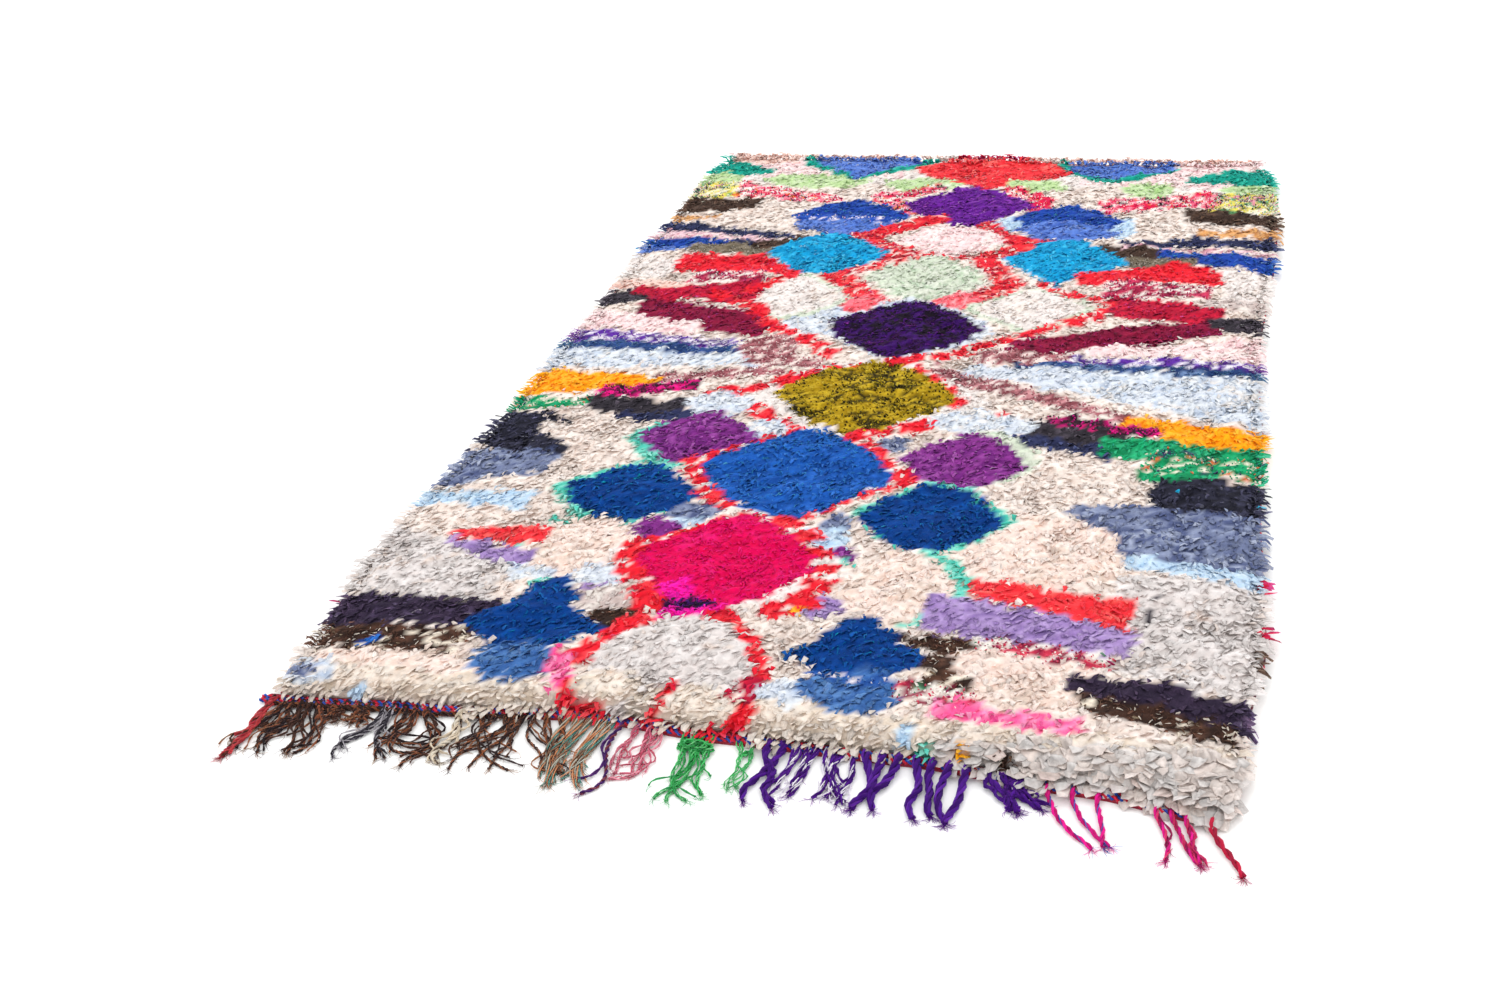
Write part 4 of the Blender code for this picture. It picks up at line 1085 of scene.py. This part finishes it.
def strandLine(root, bundle, reach, gathered):
    # The strand's middle line on the floor, from the heading to its tip: its way wavers, more so to the tip
    share = np.linspace(0, 1, fringeSettings["steps"] + 1)
    unruly = yarns[bundle.yarn].unruly
    waver = noiseAt(share * reach / fringeSettings["waveLength"], share * 0 + root * 83, 1.0, 4.4)
    curl = noiseAt(share * reach / fringeSettings["curlLength"], share * 0 + root * 57, 1.0, 7.7)
    turning = fringeSettings["waver"] * waver + fringeSettings["curl"] * curl * share
    turning = turning * unruly * np.sqrt(share)
    way = turning - math.pi / 2
    stepX, stepY = np.cos(way[1:]), np.sin(way[1:])
    stride = reach / max(-stepY.sum(), fringeSettings["straightest"] * len(stepY))
    x = root + np.concatenate([[0], np.cumsum(stepX)]) * stride
    x += (bundle.lean + gathered) * share ** fringeSettings["leanCurve"]
    y = nearWall(root) - fringeSettings["rootBack"] + np.concatenate([[0], np.cumsum(stepY)]) * stride
    y -= fringeSettings["headingWidth"] * share
    z = fringeSettings["rootHeight"] * (1 - share)
    return np.stack([x, y, z], 1)


def knotLine(x, behind, radius, height):
    # A loose turn of yarn round a strand, which stands for a knot
    turn = np.linspace(0, 2 * math.pi * 1.6, 26)
    size = radius * (1 + 0.18 * np.sin(turn * 2.3))
    y = nearWall(x) - behind + size * 0.8 * np.sin(turn)
    return np.stack([x + size * np.cos(turn), y, height + 0.002 * np.sin(turn * 1.3)], 1)


def makePly(radius, spread, pitch, length, phase):
    # A closed tube wound round the -Y axis, by turning a ring and moving it along
    bm = bmesh.new()
    sides = fringeSettings["sides"]
    ring = bmesh.ops.create_circle(bm, cap_ends=False, segments=sides, radius=radius)["verts"]
    bmesh.ops.rotate(bm, cent=(0, 0, 0), matrix=Matrix.Rotation(math.pi / 2, 3, "X"), verts=ring)
    bmesh.ops.translate(bm, vec=(spread, 0, 0), verts=ring)
    bmesh.ops.rotate(bm, cent=(0, 0, 0), matrix=Matrix.Rotation(phase, 3, "Y"), verts=ring)
    steps = max(4, round(length / min(0.0085, max(0.0042, pitch / 5))))
    bmesh.ops.spin(bm, geom=bm.verts[:] + bm.edges[:], cent=(0, 0, 0), axis=(0, -1, 0),
                   dvec=(0, -length / steps, 0), angle=2 * math.pi * length / pitch, steps=steps)
    bmesh.ops.holes_fill(bm, edges=[edge for edge in bm.edges if edge.is_boundary])
    bmesh.ops.recalc_face_normals(bm, faces=bm.faces)
    bmesh.ops.triangulate(bm, faces=bm.faces)
    bm.verts.index_update()
    points = np.array([v.co for v in bm.verts])
    triangles = np.array([[v.index for v in face.verts] for face in bm.faces])
    bm.free()
    return points, triangles


def bentAlong(points, line, taper):
    # Bends points wound round the -Y axis so that they follow a line on the floor
    steps = np.linalg.norm(np.diff(line, axis=0), axis=1)
    marks = np.concatenate([[0], np.cumsum(steps)])
    far = np.clip(-points[:, 1], 0, marks[-1])
    spot = np.stack([np.interp(far, marks, line[:, axis]) for axis in range(3)], 1)
    ahead = np.stack([np.interp(far + 0.001, marks, line[:, axis]) for axis in range(3)], 1)
    behind = np.stack([np.interp(far - 0.001, marks, line[:, axis]) for axis in range(3)], 1)
    way = ahead - behind
    way /= np.linalg.norm(way, axis=1)[:, None]
    side = np.stack([-way[:, 1], way[:, 0], np.zeros(len(way))], 1)
    side /= np.linalg.norm(side, axis=1)[:, None]
    upward = np.cross(way, side)
    thin = (1 - taper * far / marks[-1])[:, None]
    return spot + (points[:, :1] * side + points[:, 2:] * upward) * thin


def spinYarn(yarn, line, rng, taper=0.0):
    # The plies of one yarn along a line, resting on the floor or on what the line's height says
    length = np.linalg.norm(np.diff(line, axis=0), axis=1).sum()
    widest = max(radius for colour, radius in yarn.plies) / 1000
    lift = np.array([0, 0, yarn.spread / 1000 * 0.8 + widest])
    parts = []
    for number, (colour, radius) in enumerate(yarn.plies):
        phase = 2 * math.pi * number / len(yarn.plies) + rng.uniform(0, 0.6)
        points, triangles = makePly(radius / 1000, yarn.spread / 1000, yarn.pitch / 1000, length, phase)
        share = np.clip(-points[:, 1:2] / length, 0, 1)
        laid = bentAlong(points, line, taper) + lift * (1 - taper * share)
        laid[:, 2] = np.maximum(laid[:, 2], 0.0003)
        parts.append((laid, triangles, shaded(colour, rng), share[:, 0]))
    return parts


def shaded(colour, rng):
    return np.array(srgb(colour)) * rng.uniform(0.82, 1.2)


def strayYarns(yarn, line, rng):
    # Single plies that have come away from the strand and wander beside it
    parts = []
    share = np.linspace(0, 1, len(line))
    for _ in range(yarn.strays):
        colour, radius = yarn.plies[rng.integers(len(yarn.plies))]
        cut = rng.uniform(0.6, 1.0)
        wander = fringeSettings["strayWander"] * yarn.unruly
        aside = noiseAt(share * 3.2, share * 0 + rng.uniform(0, 50), 1.0, 2.9) * wander * np.sqrt(share)
        aside += rng.uniform(-0.004, 0.004) + rng.uniform(-0.5, 0.5) * wander * share
        own = line * 1.0
        own[:, 1] = line[0, 1] + (line[:, 1] - line[0, 1]) * cut
        own[:, 0] += aside
        own[:, 2] += 0.001 + 0.004 * np.abs(noiseAt(share * 4, share * 0 + rng.uniform(0, 50), 1.0, 5.1))
        single = Yarn(((colour, radius * 0.80), (colour, radius * 0.72)), 45, radius * 0.7, 2)
        parts += spinYarn(single, own, rng, 0.2) + frayEnd(single, own, rng)
    return parts


def frayEnd(yarn, line, rng):
    # Loose fibres that spread from a yarn's end
    tip = line[-1]
    way = line[-1] - line[-3]
    yaw = math.atan2(way[1], way[0])
    parts = []
    for _ in range(yarn.frays):
        length, turn = rng.uniform(0.009, 0.019), yaw + rng.normal(0, 0.55)
        bend = rng.normal(0, 0.7)
        shares = np.linspace(-0.35, 1, 5)
        turns = turn + bend * shares
        x = tip[0] + length * shares * np.cos(turns) + rng.normal(0, 0.0014)
        y = tip[1] + length * shares * np.sin(turns)
        z = 0.0012 + rng.uniform(0, 0.0028) * (1 - np.abs(shares))
        points, triangles = makePly(rng.uniform(0.00028, 0.00055), 0.0, 1.0, length * 1.3, 0)
        colour, _ = yarn.plies[rng.integers(len(yarn.plies))]
        laid = bentAlong(points, np.stack([x, y, z], 1), 0.5)
        laid[:, 2] = np.maximum(laid[:, 2], 0.0002)
        parts.append((laid, triangles, shaded(colour, rng), np.clip(-points[:, 1] / length, 0, 1)))
    return parts


def yarnPiece(name, parts):
    # Joins yarn tubes into one piece
    cells = math.ceil(math.sqrt(len(parts)))
    points, triangles, tints, uvs, so = [], [], [], [], 0
    for number, (laid, faces, colour, share) in enumerate(parts):
        points.append(laid)
        triangles.append(faces + so)
        tints.append(np.column_stack([np.repeat(colour[None], len(laid), 0), np.ones(len(laid))]))
        around = np.arange(len(laid)) % 2
        cell = np.array([number % cells, number // cells])
        uvs.append((cell + cellEdge + cellInner * np.stack([around, share], 1)) / cells)
        so += len(laid)
    mesh = meshFromArrays(name, *(np.concatenate(each) for each in (points, triangles, tints, uvs)))
    print(name, len(mesh.polygons), "triangles")
    return showPiece(name, mesh, spunYarn)


spunYarn = ragMaterial("spun wool and acrylic yarn", 0.9, 0.0006, 1.0, 0.02)
fringeRng = np.random.default_rng(51)
uneven = random.Random(fringeSettings["seed"])
fringeParts = []
for bundle in fringe:
    yarn = yarns[bundle.yarn]
    for number in range(bundle.count):
        root = bundle.first + (bundle.last - bundle.first) * number / max(1, bundle.count - 1)
        reach = bundle.reach * uneven.uniform(1 - fringeSettings["uneven"], 1 + fringeSettings["uneven"])
        group = number - number % fringeSettings["group"] + (fringeSettings["group"] - 1) / 2
        step = (bundle.last - bundle.first) / max(1, bundle.count - 1)
        gathered = (min(group, bundle.count - 1) - number) * step * fringeSettings["gather"]
        line = strandLine(root, bundle, reach, gathered)
        fringeParts += spinYarn(yarn, line, fringeRng, fringeSettings["taper"])
        fringeParts += frayEnd(yarn, line, fringeRng)
        fringeParts += strayYarns(yarn, line, fringeRng)
knots = ((-0.042, 0.0100, 0.002), (-0.036, 0.0080, 0.007), (-0.024, 0.0100, 0.005), (-0.012, 0.0090, 0.002),
         (0.044, 0.0050, 0.001))
for x, radius, height in knots:
    fringeParts += spinYarn(yarns["green yarn"], knotLine(x, 0.044, radius, height), fringeRng)
fringePiece = yarnPiece("yarn_fringe", fringeParts)


# The heading: a woven strip with twined cords along it

def edgeLine(xFrom, xTo, behind, height, wave):
    # A line along the heading, some way in front of the pile's wall
    x = np.linspace(xFrom, xTo, max(6, int(abs(xTo - xFrom) / 0.006)))
    y = nearWall(x) - behind + wave * noiseAt(x, x * 0, 0.05, 3.1)
    return np.stack([x, y, np.full(len(x), height)], 1)


headingSettings = {"leftInset": 0.020, "rightInset": 0.060, "steps": 160, "colour": "#8e2436"}


def makeHeading():
    bm = bmesh.new()
    first = outline[:, 0].min() + headingSettings["leftInset"]
    last = outline[:, 0].max() - headingSettings["rightInset"]
    x = np.linspace(first, last, headingSettings["steps"])
    back = nearWall(x) - fringeSettings["gap"]
    profile = ((0.0, 0.0), (0.0, 0.0044), (-0.5, 0.0050), (-1.0, 0.0040), (-1.0, 0.0))
    rows = [[bm.verts.new((a, b + share * fringeSettings["headingWidth"], z)) for share, z in profile]
            for a, b in zip(x, back)]
    for near, far in zip(rows, rows[1:]):
        for number in range(len(profile)):
            after = (number + 1) % len(profile)
            bm.faces.new((near[number], near[after], far[after], far[number]))
    bm.faces.new(rows[0])
    bm.faces.new(rows[-1])
    bmesh.ops.recalc_face_normals(bm, faces=bm.faces)
    mesh = bpy.data.meshes.new("woven_heading")
    bm.to_mesh(mesh)
    bm.free()
    return mesh


headingMesh = makeHeading()
headingSpots = meshSpots(headingMesh)
paint(headingMesh, np.repeat([srgb(headingSettings["colour"])], len(headingSpots), 0))
heading = showPiece("woven_heading", headingMesh, groundCloth, smooth=False)
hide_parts("fringed_heading")
cordParts = []
for behind, xFrom, xTo in ((0.019, -0.704, 0.640), (0.010, 0.640, -0.704)):
    cordParts += spinYarn(yarns["twined edge"], edgeLine(xFrom, xTo, behind, 0.0010, 0.0012), fringeRng)
for behind, xFrom, xTo in ((0.024, -0.690, -0.500), (0.027, -0.660, -0.420), (0.024, -0.420, -0.300)):
    cordParts += spinYarn(yarns["brown edge"], edgeLine(xFrom, xTo, behind, 0.0016, 0.0080), fringeRng)
headingCords = yarnPiece("twined_heading_cords", cordParts)


# The bound sides

def sideLine(ring, side):
    y = np.arange(ring[0, 1] + 0.004, ring[-1, 1] - 0.002, 0.010)
    x = np.interp(y, ring[:, 1], ring[:, 0]) - side * 0.0035
    return np.stack([x, y, np.zeros(len(y))], 1)


sideParts = []
for ring, side in ((leftSide, -1), (rightSide, 1)):
    sideParts += spinYarn(yarns["bound side"], sideLine(ring, side), fringeRng)
sides = yarnPiece("bound_sides", sideParts)


# Camera, floor and light

cameraSettings = {"place": (0.68349, -3.19375, 1.47129), "yaw": 17.453, "down": 28.006, "roll": -4.622,
                  "lens": 43.55}


def addCamera():
    camera = bpy.data.objects.new("camera", bpy.data.cameras.new("camera"))
    bpy.context.scene.collection.objects.link(camera)
    camera.data.lens = cameraSettings["lens"]
    camera.data.sensor_width = 36
    facing = (Matrix.Rotation(math.radians(cameraSettings["yaw"]), 4, "Z")
              @ Matrix.Rotation(math.radians(90 - cameraSettings["down"]), 4, "X")
              @ Matrix.Rotation(math.radians(cameraSettings["roll"]), 4, "Z"))
    camera.matrix_world = Matrix.Translation(cameraSettings["place"]) @ facing
    bpy.context.scene.camera = camera


Light = namedtuple("Light", "name place aim size power")
lights = (
    Light("overhead softbox", (0.3, 0.8, 3.4), (0, 0, 0), 2.8, 20),
    Light("front fill", (1.2, -3.6, 2.4), (0, -0.4, 0), 2.2, 9),
)


def addLight(row):
    lamp = bpy.data.lights.new(row.name, "AREA")
    lamp.shape, lamp.size, lamp.energy = "SQUARE", row.size, row.power
    light = bpy.data.objects.new(row.name, lamp)
    bpy.context.scene.collection.objects.link(light)
    aim = Vector(row.aim) - Vector(row.place)
    light.matrix_world = Matrix.Translation(row.place) @ aim.to_track_quat("-Z", "Y").to_matrix().to_4x4()


def addFloor():
    bm = bmesh.new()
    bmesh.ops.create_grid(bm, x_segments=1, y_segments=1, size=30)
    mesh = bpy.data.meshes.new("floor")
    bm.to_mesh(mesh)
    bm.free()
    material = bpy.data.materials.new("matt white paper floor")
    material.use_nodes = True
    shader = material.node_tree.nodes["Principled BSDF"]
    shader.inputs["Base Color"].default_value = (*srgb("#fcfcfb"), 1)
    shader.inputs["Roughness"].default_value = 1.0
    shader.inputs["Specular IOR Level"].default_value = 0.0
    mesh.materials.append(material)
    floor = bpy.data.objects.new("floor", mesh)
    bpy.context.scene.collection.objects.link(floor)


addCamera()
for row in lights:
    addLight(row)
addFloor()
world = bpy.data.worlds.new("white room")
world.use_nodes = True
world.node_tree.nodes["Background"].inputs["Color"].default_value = (1, 1, 1, 1)
world.node_tree.nodes["Background"].inputs["Strength"].default_value = 1.27
bpy.context.scene.world = world
bpy.context.scene.view_settings.view_transform = "Standard"
